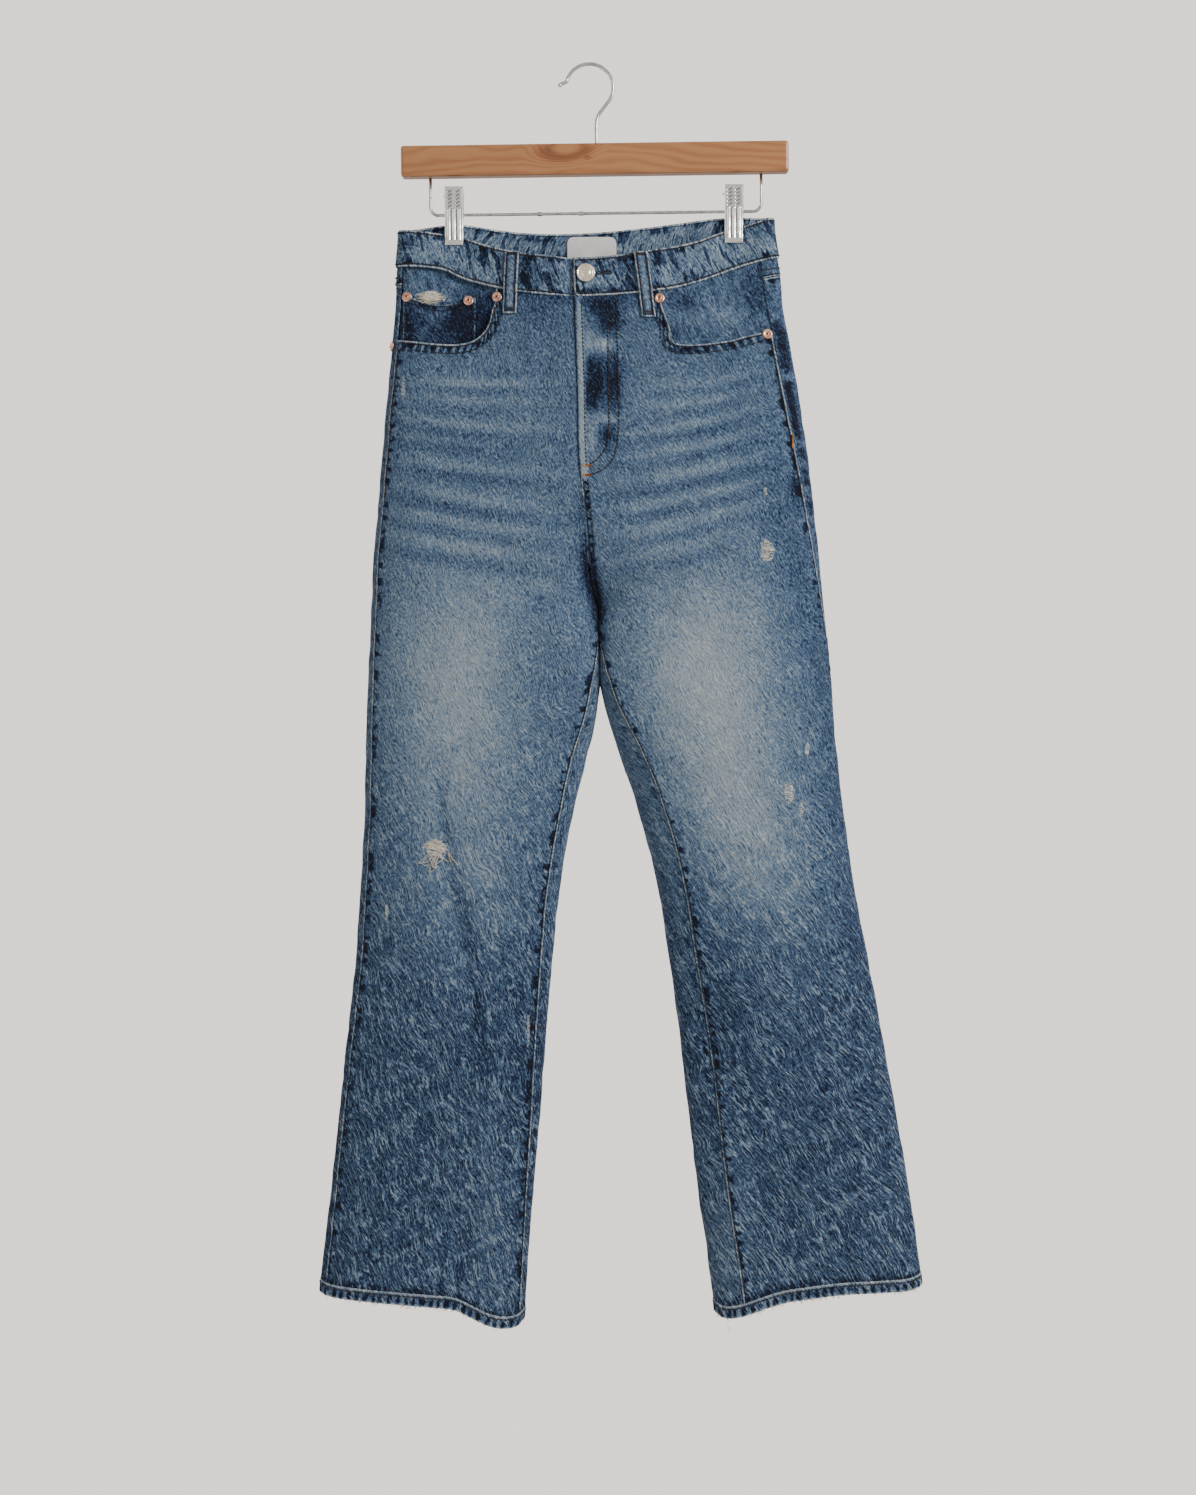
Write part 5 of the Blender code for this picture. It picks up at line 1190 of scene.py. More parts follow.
def makeHem(side):
    half = halfNames[side]
    turn = np.linspace(0, 2, hem["columns"], endpoint=False)[None, :]
    angle = np.linspace(0, 2 * pi, hem["sides"], endpoint=False)[:, None]
    c = np.sign(np.cos(angle)) * np.abs(np.cos(angle)) ** 0.5
    s = np.sign(np.sin(angle)) * np.abs(np.sin(angle)) ** 0.6
    around = turn * faceLength(side, "front", hem["level"])
    bottom = hemEdge(side, turn) + 0.35 * mm * waves(around, 5 * mm, 3.0 + side)
    halfHeight = shape["hemHeight"] / 2
    heights = bottom + halfHeight + halfHeight * s
    twist = 2 * pi * around / hem["rope"] + 1.3 * waves(around, 29 * mm, 1.0 + side) + 0.5 * s
    rope = 0.24 * mm * np.sin(twist) * (1 - 0.4 * s)
    ridge = 0.3 * mm * bell(s - 0.8, 0.2) - 0.35 * mm * bell(s - 0.45, 0.12)
    offset = hem["mid"] + hem["thick"] * c + np.where(c > 0, rope + ridge, 0)
    points = cloth(side, turn + 0 * heights, heights, offset)
    marks = eased(np.sin(twist), -0.25, 0.35) * eased(-s, -0.55, -0.3) * (1 - 0.6 * eased(-s, 0.6, 0.95))
    fade = hem["tone"] + 0.30 * eased(-s, 0.45, 0.95) + 0.28 * eased(s, 0.66, 0.8) - 0.56 * marks * (c > 0)
    fade = fade + 0.06 * waves(around, 31 * mm, 2.0)
    uv = np.stack([around * side + 0 * heights, heights + 2 * offset], axis=-1)
    faces = gridFaces(hem["sides"], hem["columns"], True, True)
    made = facedMesh("hem" + half.capitalize(), points.reshape(-1, 3), faces, denimPlain)
    setCloth(made, uv.reshape(-1, 2), toned(fade).ravel(), np.full(fade.size, far))
    return made


# Quads of a grid of points, closed round its rows or columns where asked
def gridFaces(rows, cols, closedRows=False, closedCols=False):
    index = np.arange(rows * cols).reshape(rows, cols)
    if closedRows:
        index = np.concatenate([index, index[:1]], axis=0)
    if closedCols:
        index = np.concatenate([index, index[:, :1]], axis=1)
    a, b, c, d = index[:-1, :-1], index[:-1, 1:], index[1:, 1:], index[1:, :-1]
    return np.stack([a, b, c, d], axis=-1).reshape(-1, 4)


# A mesh of quads and end caps, all turned outwards
def facedMesh(name, points, faces, material, caps=()):
    turned = outward(points, faces)
    step = 1 if turned is faces else -1
    return meshObject(name, points, turned.tolist() + [list(cap)[::step] for cap in caps], material)


# Patches that lie on the cloth or behind it: a sheet between two edges over a run of X
def makePatch(name, back, x, top, bottom, rows, offset, thick, material, tone, roll=0.35 * mm, fine=1.0,
              spots=()):
    blend = np.linspace(0, 1, rows)[:, None]
    heights = top * (1 - blend) + bottom * blend
    xs = x + 0 * heights
    length = np.abs(top - bottom).mean()
    fromTop, fromSide = blend * length, np.minimum(np.abs(xs - xs[:, :1]), np.abs(xs - xs[:, -1:]))
    fromEdge = np.minimum(np.minimum(fromTop, (1 - blend) * length), fromSide)
    rolled = roll * bell(fromEdge, 1.1 * mm)
    inner = face(back, xs, heights, offset + 0 * xs, fine)
    outer = face(back, xs, heights, offset + thick - rolled, fine)
    fade = tone + 0.08 * waves(xs + heights, 19 * mm, tone * 9) + spotGain(spots, xs, heights)
    uv = np.stack([xs, heights], axis=-1)
    return sheetMesh(name, outer, inner, material, uv, toned(fade), fromEdge)


# Back pockets: five-sided, the lower edge in a shallow point, set on the backs
backPocket = {"fromCentre": 92, "top": -268, "halfWidth": 66, "taper": 9, "sideDepth": 118, "point": 24,
              "tilt": 4, "columns": 46, "rows": 46, "tone": 0.47, "cut": (0.132, 0.142), "area": 0.0158}


def pocketPoint(side, across, down):
    centre = section("backShift", -330 * mm) + section("rightInner", -330 * mm)
    halfWidth = (backPocket["halfWidth"] - backPocket["taper"] * down) * mm
    x = centre + side * backPocket["fromCentre"] * mm + across * halfWidth
    top = (backPocket["top"] - backPocket["tilt"] * across * side) * mm
    bottom = top - (backPocket["sideDepth"] + backPocket["point"] * (1 - np.abs(across))) * mm
    return x, top * (1 - down) + bottom * down


def makeBackPocket(side):
    half = halfNames[side]
    across = np.linspace(-1, 1, backPocket["columns"])[None, :]
    down = np.linspace(0, 1, backPocket["rows"])[:, None]
    xs, heights = pocketPoint(side, across, down)
    fromTop, fromSide = down * 130 * mm, (1 - np.abs(across)) * 60 * mm
    fromEdge = np.minimum(np.minimum(fromTop + 3 * mm, fromSide), (1 - down) * 130 * mm)
    base = shape["panel"] + shape["gap"]
    run = xs + heights
    pucker = 0.25 * mm * waves(run, 9 * mm, 1.4) * bell(fromEdge - 5 * mm, 4 * mm)
    seam = 0.5 * mm * eased(-fromTop, -14 * mm, -12.5 * mm)
    gape = 1.2 * mm * bell(fromTop, 16 * mm) * (1 - across ** 2) ** 2
    roll = 0.35 * mm * bell(fromEdge, 1.0 * mm)
    outer = face(True, xs, heights, base + shape["pocket"] + pucker + seam + gape - roll)
    inner = face(True, xs, heights, base + gape)
    fade = backPocket["tone"] + 0.16 * np.exp(-(across ** 2 + (down - 0.45) ** 2 * 4))
    uv = np.stack([xs, heights], axis=-1)
    edge = np.minimum(fromEdge, fromTop)
    return sheetMesh("backPocket" + half.capitalize(), outer, inner, denimPocket, uv, toned(fade), edge)


facing = {"bottom": -277 * mm, "overlap": 14 * mm, "margin": 3 * mm}
# how deep each half's facing lies, its flat size and its area
facings = {-1: (2.8 * mm, (0.105, 0.075), 0.0077), 1: (0.3 * mm, (0.118, 0.082), 0.0092)}
# the darker places in the pocket mouths are painted shadow, the paler places wear
facingSpots = (
    (-100, -240, 12, 20, 0, -0.42), (-118, -252, 30, 8, 0, -0.18), (-150, -240, 20, 14, 0.3, -0.06),
    (-158, -205, 30, 9, 0, 0.06), (-110, -214, 16, 9, 0, -0.1), (90, -222, 14, 10, 0, -0.18),
    (120, -232, 30, 12, 0, 0.12), (152, -214, 12, 24, 0, -0.16), (80, -248, 8, 8, 0, -0.15))


# Pocket facings: the cloth that shows inside the front pockets' mouths
def makeFacing(side, depth):
    half = halfNames[side]
    innerEdge = pocketMouth(side, 3)[0][0] - side * facing["overlap"]
    level = np.array([-215 * mm])
    first = turnAt(side, np.array([innerEdge]), level)[0]
    last = (seamTurn(side, "Outseam", level) + gapTurn(side, level, facing["margin"]))[0]
    turn = np.linspace(first, last, 44)
    x = lookUp(halves[side]["points"], turn, np.full(44, -200 * mm))[:, 0]
    top = bandEdge("frontBottom", x) + facing["margin"]
    blend = np.linspace(0, 1, 28)[:, None]
    heights = top * (1 - blend) + facing["bottom"] * blend
    turns = turn + 0 * heights
    drag = 0.25 * mm * waves((turns * 0.18 - heights * 0.7), 24 * mm, 1.7)
    outer = cloth(side, turns, heights, -depth + drag, 0.4)
    inner = cloth(side, turns, heights, -depth - shape["pocket"] + drag, 0.4)
    fade = 0.40 + spotGain(facingSpots, outer[..., 0], heights)
    fade = fade + 0.06 * waves(turns * 0.18 - heights, 17 * mm, 0.9)
    uv = clothUv(side, turns, heights)
    return sheetMesh("pocketFacing" + half.capitalize(), outer, inner, denimFacing, uv, toned(fade))


# dark places on the coin pocket are painted shadow under the pocket mouth and by the slit at the outseam; the
# pale streaks are wear
coinSpots = (
    (-134, -250, 26, 12, 0, -0.12), (-114, -238, 13, 20, 0, -0.46), (-152, -226, 22, 4, 0.2, 0.1),
    (-150, -246, 4, 16, 0.6, 0.14), (-138, -242, 3, 14, 0.6, 0.1), (-166, -246, 4, 16, 0, -0.16))
coin = {"from": -172.5, "width": 68, "top": -211.5, "fall": 3, "dip": 10, "bottom": -264, "depth": 1.1 * mm}


def coinTop(share):
    return (coin["top"] - coin["fall"] * share - coin["dip"] * np.sin(pi * share) ** 0.8) * mm


# Belt loops: a folded strip from the band's top edge over the seam to a bartack below
loopNames = ("name", "node", "back", "xTop", "xBottom", "tail")
loops = (
    ("beltLoopFrontRight", "belt_loop_front_right", False, -69.8, -72.8, 22),
    ("beltLoopFrontLeft", "belt_loop_front_left", False, 47.8, 55.8, 24),
    ("beltLoopBackRight", "belt_loop_back_right", True, -100, -101.5, 18),
    ("beltLoopBackCentre", "belt_loop_back_centre", True, -0.5, 0, 18),
    ("beltLoopBackLeft", "belt_loop_back_left", True, 108, 109.5, 18))


# Middle line of a loop at shares of its length: X, height and offset out of the inside
def loopLine(loop, share):
    name = "back" if loop["back"] else "front"
    top = bandEdge(name + "Top", np.array([loop["xTop"] * mm]))[0] - 0.5 * mm
    seam = bandEdge(name + "Bottom", np.array([loop["xBottom"] * mm]))[0]
    bottom = seam - loop["tail"] * mm
    height = top + (bottom - top) * share
    x = (loop["xTop"] + (loop["xBottom"] - loop["xTop"]) * share) * mm
    high, low = shape["band"] + 0.45 * mm, shape["panel"] + 0.6 * mm
    offset = low + (high - low) * eased(height, seam - 8 * mm, seam - 1 * mm)
    arch = np.clip((height - seam + 4 * mm) / (top - seam), 0, 1)
    return x, height, offset + 0.7 * mm * np.sin(pi * arch)


def makeLoop(loop):
    share = np.linspace(0, 1, 46)[:, None]
    across = np.linspace(-1, 1, 15)[None, :]
    x, height, offset = loopLine(loop, share)
    end = np.minimum(share, 1 - share) * 60 * mm
    roll = 0.5 * mm * np.abs(across) ** 8 + 0.4 * mm * bell(end, 1.0 * mm)
    groove = 0.25 * mm * bell(np.abs(across) - 0.62, 0.1)
    xs, heights = x + across * shape["loopWidth"] / 2, height + 0 * across
    outer = face(loop["back"], xs, heights, offset + shape["loop"] - roll - groove)
    inner = face(loop["back"], xs, heights, offset + 0.2 * mm + 0 * across)
    fade = 0.44 + 0.06 * waves(heights, 12 * mm, loop["xTop"]) + 0.12 * bell(across, 0.35)
    # painted shade in the grooves along both stitch rows
    fade = fade - 0.16 * bell(np.abs(across) - 0.62, 0.16)
    edge = np.minimum((1 - np.abs(across)) * shape["loopWidth"] / 2, end)
    uv = np.stack([xs, heights], axis=-1)
    return sheetMesh(loop["name"], outer, inner, denimTrim, uv, toned(fade), edge)


for side, half in ((-1, "right"), (1, "left")):
    settle(makeBand(side), ("waistband_" + half,), band["cut"], None)
    girth = faceLength(side, "front", hem["level"]) + faceLength(side, "back", hem["level"])
    flat = (round(float(girth), 3), 0.014)
    settle(makeHem(side), ("hem_" + half,), flat, None)
    settle(makeBackPocket(side), ("back_pocket_" + half,), backPocket["cut"], backPocket["area"])
for side, (depth, flat, area) in facings.items():
    half = halfNames[side]
    settle(makeFacing(side, depth), ("pocket_facing_" + half,), flat, area)
share = np.linspace(0, 1, 40)
made = makePatch("coinPocket", False, (coin["from"] + coin["width"] * share) * mm, coinTop(share),
                 np.full(40, coin["bottom"] * mm), 28, -coin["depth"] - shape["pocket"], shape["pocket"],
                 denimPocket, 0.27, fine=0.4, spots=coinSpots)
settle(made, ("coin_pocket",), (0.070, 0.046), None)
x = np.linspace(-34, 20, 20) * mm
made = makePatch("flyShield", False, x, bandEdge("frontBottom", x) - 0.6 * mm, np.full(20, -372 * mm), 40,
                 -1.4 * mm, shape["pocket"], denimPlain, 0.25, fine=0.3)
settle(made, ("fly_shield",), (0.056, 0.156), None)
x = np.linspace(-20, 26, 40) * mm
corner = 1 - np.clip(np.minimum(x - x[0], x[-1] - x) / (6 * mm), 0, 1)
made = makePatch("neckLabel", True, x, -157.6 * mm - 6 * mm * (1 - np.sqrt(1 - corner ** 2)),
                 np.full(40, -186 * mm), 24, -1.3 * mm, 0.9 * mm, labelCloth, 0.9, 0.1 * mm, 0.0)
settle(made, ("neck_label",), (0.046, 0.029), None)
for row in loops:
    loop = dict(zip(loopNames, row))
    flat = (shape["loopWidth"], 0.056 if loop["back"] else 0.059)
    settle(makeLoop(loop), (loop["node"],), flat, None)
print("band, hems, pockets and loops ready")


# Turned metal: rings of radius and rise round a direction, closed at both ends

def turnedMesh(name, centre, direction, rings, material, sides=40):
    z = np.array(direction) / np.linalg.norm(direction)
    x = np.cross((0, 0, 1), z)
    x = x / np.linalg.norm(x)
    y = np.cross(z, x)
    angle = np.linspace(0, 2 * pi, sides, endpoint=False)
    rings = np.array(rings)
    circle = np.cos(angle)[None, :, None] * x + np.sin(angle)[None, :, None] * y
    points = centre + circle * rings[:, :1, None] + rings[:, 1:, None] * z
    faces = gridFaces(len(rings), sides, False, True)
    last = (len(rings) - 1) * sides
    caps = [range(sides)[::-1], range(last, last + sides)]
    return facedMesh(name, points.reshape(-1, 3), faces, material, caps)


# Middle and outward direction of a fastener on the front
def seat(x, height, offset):
    x, height = np.array([x * mm]), np.array([height * mm])
    low = face(False, x, height, np.array([offset]))[0]
    high = face(False, x, height, np.array([offset + mm]))[0]
    return low, (high - low) / mm


button = {"x": -2.2, "height": -196.0, "radius": 8.6, "rise": 0.3}
buttonRings = (
    (0.8, 0), (0.95, 0.25), (1, 0.9), (1, 1.8), (0.985, 2.35), (0.95, 2.75), (0.9, 2.85), (0.86, 2.7),
    (0.83, 2.4), (0.79, 2.35), (0.76, 2.5), (0.73, 2.65), (0.7, 2.5), (0.66, 2.45), (0.55, 2.6), (0.46, 2.7),
    (0.43, 2.95), (0.39, 3), (0.35, 2.8), (0.26, 2.85), (0.2, 3.05), (0.12, 3.15), (0.03, 3.18))
place, out = seat(button["x"], button["height"], shape["band"] + button["rise"] * mm)
rings = [(r * button["radius"] * mm, rise * mm) for r, rise in buttonRings]
made = turnedMesh("waistButton", place, out, rings, buttonMetal, 64)
settle(made, ("waist_button",))

rivetNames = ("name", "node", "x", "height", "offset")
rivets = (
    ("rivetCoinOuter", "rivet_coin_outer", -168.4, -216, -1.1),
    ("rivetCoinInner", "rivet_coin_inner", -111.2, -219.4, -1.1),
    ("rivetRightTop", "rivet_pocket_right_top", -84.4, -217, 1.2),
    ("rivetRightSide", "rivet_pocket_right_side", -180.6, -261.4, 1.2),
    ("rivetLeftTop", "rivet_pocket_left_top", 65.6, -218.6, 1.2),
    ("rivetLeftSide", "rivet_pocket_left_side", 165.2, -251.6, 1.2))
rivetRings = (
    (0.86, 0), (0.97, 0.2), (1, 0.5), (0.97, 0.85), (0.88, 1.12), (0.74, 1.25), (0.62, 1.2), (0.52, 1.02),
    (0.44, 0.85), (0.36, 0.78), (0.31, 0.92), (0.26, 1.35), (0.2, 1.5), (0.13, 1.45), (0.1, 1), (0.02, 0.95))
for row in rivets:
    rivet = dict(zip(rivetNames, row))
    place, out = seat(rivet["x"], rivet["height"], (rivet["offset"] + 0.3) * mm)
    rings = [(r * 4.8 * mm, rise * 1.15 * mm) for r, rise in rivetRings]
    made = turnedMesh(rivet["name"], place, out, rings, copper, 32)
    settle(made, (rivet["node"],))
    dark = turnedMesh(rivet["name"] + "Eye", place + out * 1.62 * mm, out,
                      ((0.9 * mm, 0.0), (1.0 * mm, 0.08 * mm), (0.5 * mm, 0.14 * mm)), copperDark, 16)
    settle(dark)
print("button and rivets ready")


# Stitches: each a small four-sided bead along its row, all of a kind in one mesh

stitch = {"length": 3.0 * mm, "pitch": 3.6 * mm, "width": 0.72 * mm, "height": 0.55 * mm}
beadAlong = np.array([-0.5, -0.34, 0.34, 0.5])
beadWide = np.array([0.35, 1.0, 1.0, 0.35])
beadAngle = np.array([0.25, 0.75, 1.25, 1.75]) * pi
stitchRows = {"navy": [], "brown": [], "orange": []}


# One row along points with outward directions; pitch may be set for bartacks
def addRow(kind, points, outward, pitch=None, length=None):
    pitch, length = pitch or stitch["pitch"], length or stitch["length"]
    along = np.concatenate([[0], np.cumsum(np.linalg.norm(np.diff(points, axis=0), axis=1))])
    count = max(int(along[-1] / pitch), 1)
    at = (np.arange(count) + 0.5) * along[-1] / count
    place = np.stack([np.interp(at, along, points[:, k]) for k in range(3)], axis=1)
    ahead = np.stack([np.interp(at + 0.4 * mm, along, points[:, k]) for k in range(3)], axis=1)
    behind = np.stack([np.interp(at - 0.4 * mm, along, points[:, k]) for k in range(3)], axis=1)
    out = np.stack([np.interp(at, along, outward[:, k]) for k in range(3)], axis=1)
    stitchRows[kind].append((place, ahead - behind, out, np.full(count, length)))


def addBeads(name, kind, material):
    parts = stitchRows[kind]
    place, run, out = [np.concatenate([part[k] for part in parts]) for k in range(3)]
    length = np.concatenate([part[3] for part in parts])
    run = run / np.linalg.norm(run, axis=1, keepdims=True)
    out = out - run * (out * run).sum(axis=1, keepdims=True)
    out = out / np.linalg.norm(out, axis=1, keepdims=True)
    aside = np.cross(run, out)
    tilt = rng.normal(0, 0.07, (len(run), 1))
    run = run + aside * tilt
    ring = (aside[:, None, None] * np.cos(beadAngle)[None, None, :, None] * stitch["width"]
            + out[:, None, None] * np.sin(beadAngle)[None, None, :, None] * stitch["height"])
    along = beadAlong[None, :, None, None] * length[:, None, None, None]
    points = place[:, None, None] + run[:, None, None] * along + ring * beadWide[None, :, None, None]
    base = np.concatenate([gridFaces(4, 4, False, True), [[0, 3, 2, 1], [12, 13, 14, 15]]])
    faces = (base[None] + 16 * np.arange(len(place))[:, None, None]).reshape(-1, 4)
    points = points.reshape(-1, 3)
    made = meshObject(name, points, outward(points, faces, len(base)), material)
    print(name, len(place), "stitches")
    return settle(made)


# Rows by turn and height on one half
def rowOnCloth(kind, side, turn, height, offset, **sizes):
    low = cloth(side, turn, height, offset + 0.22 * mm)
    high = cloth(side, turn, height, offset + 1.1 * mm)
    addRow(kind, low, high - low, **sizes)


# Rows by X and height on the front or back
def rowOnFace(kind, back, x, height, offset, **sizes):
    low = face(back, x, height, offset + 0.22 * mm)
    high = face(back, x, height, offset + 1.1 * mm)
    addRow(kind, low, high - low, **sizes)


# A run of points moved sideways in its own plane
def aside(xs, zs, distance):
    dx, dz = np.gradient(xs), np.gradient(zs)
    length = np.hypot(dx, dz)
    return xs - dz / length * distance, zs + dx / length * distance


# A short thick bar of close stitches across a place
def bartack(kind, back, x, height, width, tall, offset):
    for k in np.linspace(-0.5, 0.5, max(int(tall / 0.55), 2)):
        xs = (x + np.linspace(-0.5, 0.5, 6) * width) * mm
        zs = np.full(6, (height + k * tall) * mm)
        rowOnFace(kind, back, xs, zs, offset, pitch=1.5 * mm, length=1.7 * mm)


level, ends = np.linspace(0, 1, 20), np.ones(20)
pocketAcross = np.concatenate([-ends, np.linspace(-1, 1, 40), ends])
pocketDown = np.concatenate([level, np.ones(40), level[::-1]])
for side in (-1, 1):
    turn = np.concatenate([np.linspace(gapTurn(side, -0.2) + 0.012, 1, 90), np.linspace(1.01, 1.97, 90)])
    top, bottom = bandColumns(side, turn)
    run = bandRun(side, 22)
    runTurn = turnAt(side, run, bandEdge("frontBottom", run) - shape["gap"])
    front = turn < runTurn[-1]
    bottom[front] = np.interp(turn[front], runTurn, bandEdge("frontBottom", run))
    keep = (turn > 0.10) | (side > 0)
    for heights in (top - 2.6 * mm, bottom + 2.8 * mm):
        rowOnCloth("brown", side, turn[keep], heights[keep], shape["band"] - 0.2 * mm)
    for distance, kind in ((2.4, "brown"), (8.4, "navy")):
        xs, zs = aside(*pocketMouth(side, 60), -side * distance * mm)
        fold = lookUp(halves[side]["points"], seamTurn(side, "Outseam", zs), zs)[:, 0] * side - 1.5 * mm
        inside = (xs * side < fold) & (zs < bandEdge("frontBottom", xs) - 2 * mm)
        rowOnFace(kind, False, xs[inside], zs[inside], shape["panel"] + panels["mouthDouble"])
    legs, hips = np.linspace(-512, -1138, 220) * mm, np.linspace(-262, -404, 60) * mm
    seamRows = (("navy", "Inseam", legs, 2.3, 0.2), ("brown", "Outseam", hips, -2.6, 0.3))
    for kind, seam, levels, away, lift in seamRows:
        turn = seamTurn(side, seam, levels) + away * mm / faceLength(side, "front", levels)
        rowOnCloth(kind, side, turn, levels, shape["panel"] + lift * mm)
    turn = np.linspace(0, 2, 400)
    rowOnCloth("brown", side, turn, hemEdge(side, turn) + 8.6 * mm, 1.35 * mm)
    turn = backRun(side, -205 * mm, 80)
    for distance in (1.9, 7.4):
        rowOnCloth("brown", side, turn, yokeEdge(side, turn) + distance * mm, shape["panel"] + 0.4 * mm)
    for inset in (2.2, 8.0):
        xs, zs = pocketPoint(side, pocketAcross * (1 - inset / 62), pocketDown * (1 - inset / 128))
        rowOnFace("brown", True, xs, zs, shape["panel"] + shape["pocket"] + 0.3 * mm)
    xs, zs = pocketPoint(side, np.linspace(-0.97, 0.97, 40), np.full(40, 0.095))
    rowOnFace("brown", True, xs, zs, shape["panel"] + shape["pocket"] + 0.8 * mm)
# the seat's and the rise's rows beside the centre line
seatLine, riseLine = np.linspace(-250, -495, 60) * mm, np.linspace(-386, -498, 40) * mm
centreRows = (("brown", True, seatLine, (2.0, 7.4)), ("navy", False, riseLine, (2.2, 6.6)))
for kind, back, line, distances in centreRows:
    for distance in distances:
        rowOnFace(kind, back, centreLine(back, line) + distance * mm, line, shape["panel"] + 0.1 * mm)
# the fly's two rows: straight down, then round to its foot
flyOuter = (
    (25.6, -221), (26.6, -262), (27.6, -300), (28, -330), (27, -350), (23.6, -366), (16.6, -376), (6, -382),
    (-3, -384))
flyInner = (
    (17.4, -220), (18, -262), (18.4, -300), (19, -326), (18.4, -346), (15, -360), (8, -369), (1, -374),
    (-4, -375))
for rows in (flyOuter, flyInner):
    xs, zs = column(rows, pocketNames, "x"), column(rows, pocketNames, "height")
    s, fine = np.arange(len(xs), dtype=float), np.linspace(0, len(xs) - 1, 120)
    rowOnFace("brown", False, smooth(fine, s, xs), smooth(fine, s, zs), shape["panel"] + panels["flyDouble"])
edge = np.linspace(-222, -376, 80) * mm
rowOnFace("navy", False, centreLine(False, edge) + 6.4 * mm, edge, shape["panel"] + 0.9 * mm)
share, onCoin = np.linspace(0.03, 0.97, 40), 0.05 * mm - coin["depth"]
for drop in (2, 6):
    rowOnFace("navy", False, (coin["from"] + coin["width"] * share) * mm, coinTop(share) - drop * mm, onCoin)
for across in (0.035, 0.965):
    zs = np.linspace(coin["top"] - 6, coin["bottom"] + 4, 20) * mm
    rowOnFace("navy", False, np.full(20, (coin["from"] + coin["width"] * across) * mm), zs, onCoin)
for row in loops:
    loop = dict(zip(loopNames, row))
    x, height, offset = loopLine(loop, np.linspace(0.03, 0.97, 30))
    for across in (-0.62, 0.62):
        xs = x + across * shape["loopWidth"] / 2
        rowOnFace("brown", loop["back"], xs, height, offset + shape["loop"] - 0.25 * mm)
    for at in (0.045, 0.93):
        x, height, offset = [value.item() for value in loopLine(loop, np.array([at]))]
        bartack("brown", loop["back"], x / mm, height / mm, 9, 1.6, offset + shape["loop"] - 0.1 * mm)
orangeBars = ((-1.5, -375, 9.5, 1.4, 0.8), (-1.5, -383.4, 9.5, 1.4, 0.3), (187.9, -351, 1.3, 12, 0.5))
for x, height, width, tall, lift in orangeBars:
    bartack("orange", False, x, height, width, tall, shape["panel"] + lift * mm)


# One stitch of the buttonhole between two places in mm
def holeStitch(xs, zs):
    rowOnFace("navy", False, xs * mm, zs * mm, shape["band"] - 0.05 * mm, pitch=2 * mm, length=1.5 * mm)


# short stitches across both lips of the slit, then round its eye
for x in np.linspace(4.5, 19.0, 26):
    for lip in (-1, 1):
        holeStitch(x + np.array([0, 0.25]), -196.2 + 0.06 * (x - 4) + lip * np.array([0.35, 1.7]))
for angle in np.linspace(-2.2, 2.2, 13):
    reach = np.array([0.6, 2.0])
    holeStitch(19.4 + np.cos(angle) * reach, -195.3 + np.sin(angle) * reach)
addBeads("stitchesNavy", "navy", threadNavy)
addBeads("stitchesBrown", "brown", threadBrown)
addBeads("stitchesOrange", "orange", threadOrange)


# Loose yarn: thin tubes along short curves, many in one mesh. Each ring is turned about
# the curve's own direction, with 4 corners.
def yarnMesh(name, curves, radius, material):
    run = np.gradient(curves, axis=1)
    run = run / np.maximum(np.linalg.norm(run, axis=2, keepdims=True), 1e-9)
    side = np.cross(run, np.array([0.13, -0.98, 0.15]))
    side = side / np.maximum(np.linalg.norm(side, axis=2, keepdims=True), 1e-9)
    up = np.cross(run, side)
    ends = np.ones(curves.shape[1])
    ends[[0, -1]] = 0.4
    ring = side[:, :, None] * np.cos(beadAngle)[:, None] + up[:, :, None] * np.sin(beadAngle)[:, None]
    points = curves[:, :, None] + ring * radius * ends[None, :, None, None]
    count, steps = curves.shape[:2]
    base = gridFaces(steps, 4, False, True)
    last = (steps - 1) * 4
    base = np.concatenate([base, [[3, 2, 1, 0], [last, last + 1, last + 2, last + 3]]])
    faces = (base[None] + 4 * steps * np.arange(count)[:, None, None]).reshape(-1, 4)
    points = points.reshape(-1, 3)
    return settle(meshObject(name, points, outward(points, faces, len(base)), material))


# Yarn across an abraded place: level threads with a little sag and lift, lengths in mm
def weftThreads(x, height, halfWidth, halfHeight, count, lift, lean=0.0, offset=shape["panel"]):
    t = np.linspace(-1, 1, 9)[None, :]
    level = rng.uniform(-1, 1, (count, 1))
    reach = halfWidth * np.sqrt(np.clip(1.05 - level ** 2, 0.05, 1)) * rng.uniform(0.55, 1.05, (count, 1))
    middle = x + rng.uniform(-0.25, 0.25, (count, 1)) * halfWidth
    wave = rng.uniform(-0.9, 0.9, (count, 1)) * np.sin(pi * t + rng.uniform(0, 6, (count, 1)))
    zs = height + level * halfHeight + wave + rng.uniform(-1, 1, (count, 1)) * t - lean * reach * t
    high = 0.15 + lift * rng.uniform(0.1, 1, (count, 1)) * (1 - t ** 2)
    return face(False, (middle + reach * t) * mm, zs * mm, offset + high * mm)


# A curl of yarn that hangs from an abraded place
def curls(x, height, width, drop, count):
    t = np.linspace(0, 1, 9)[None, :]
    start = x + rng.uniform(-0.5, 0.5, (count, 1)) * width
    swing = rng.uniform(-0.6, 0.6, (count, 1)) * width
    xs = start + swing * np.sin(pi * t) + rng.uniform(-1.5, 1.5, (count, 1)) * np.sin(2 * pi * t)
    fall = drop * rng.uniform(0.3, 1, (count, 1)) * np.sin(pi * t * rng.uniform(0.6, 1, (count, 1)))
    high = 0.3 + 1.6 * np.sin(pi * t) * rng.uniform(0.3, 1, (count, 1))
    return face(False, xs * mm, (height - fall) * mm, shape["panel"] + high * mm)


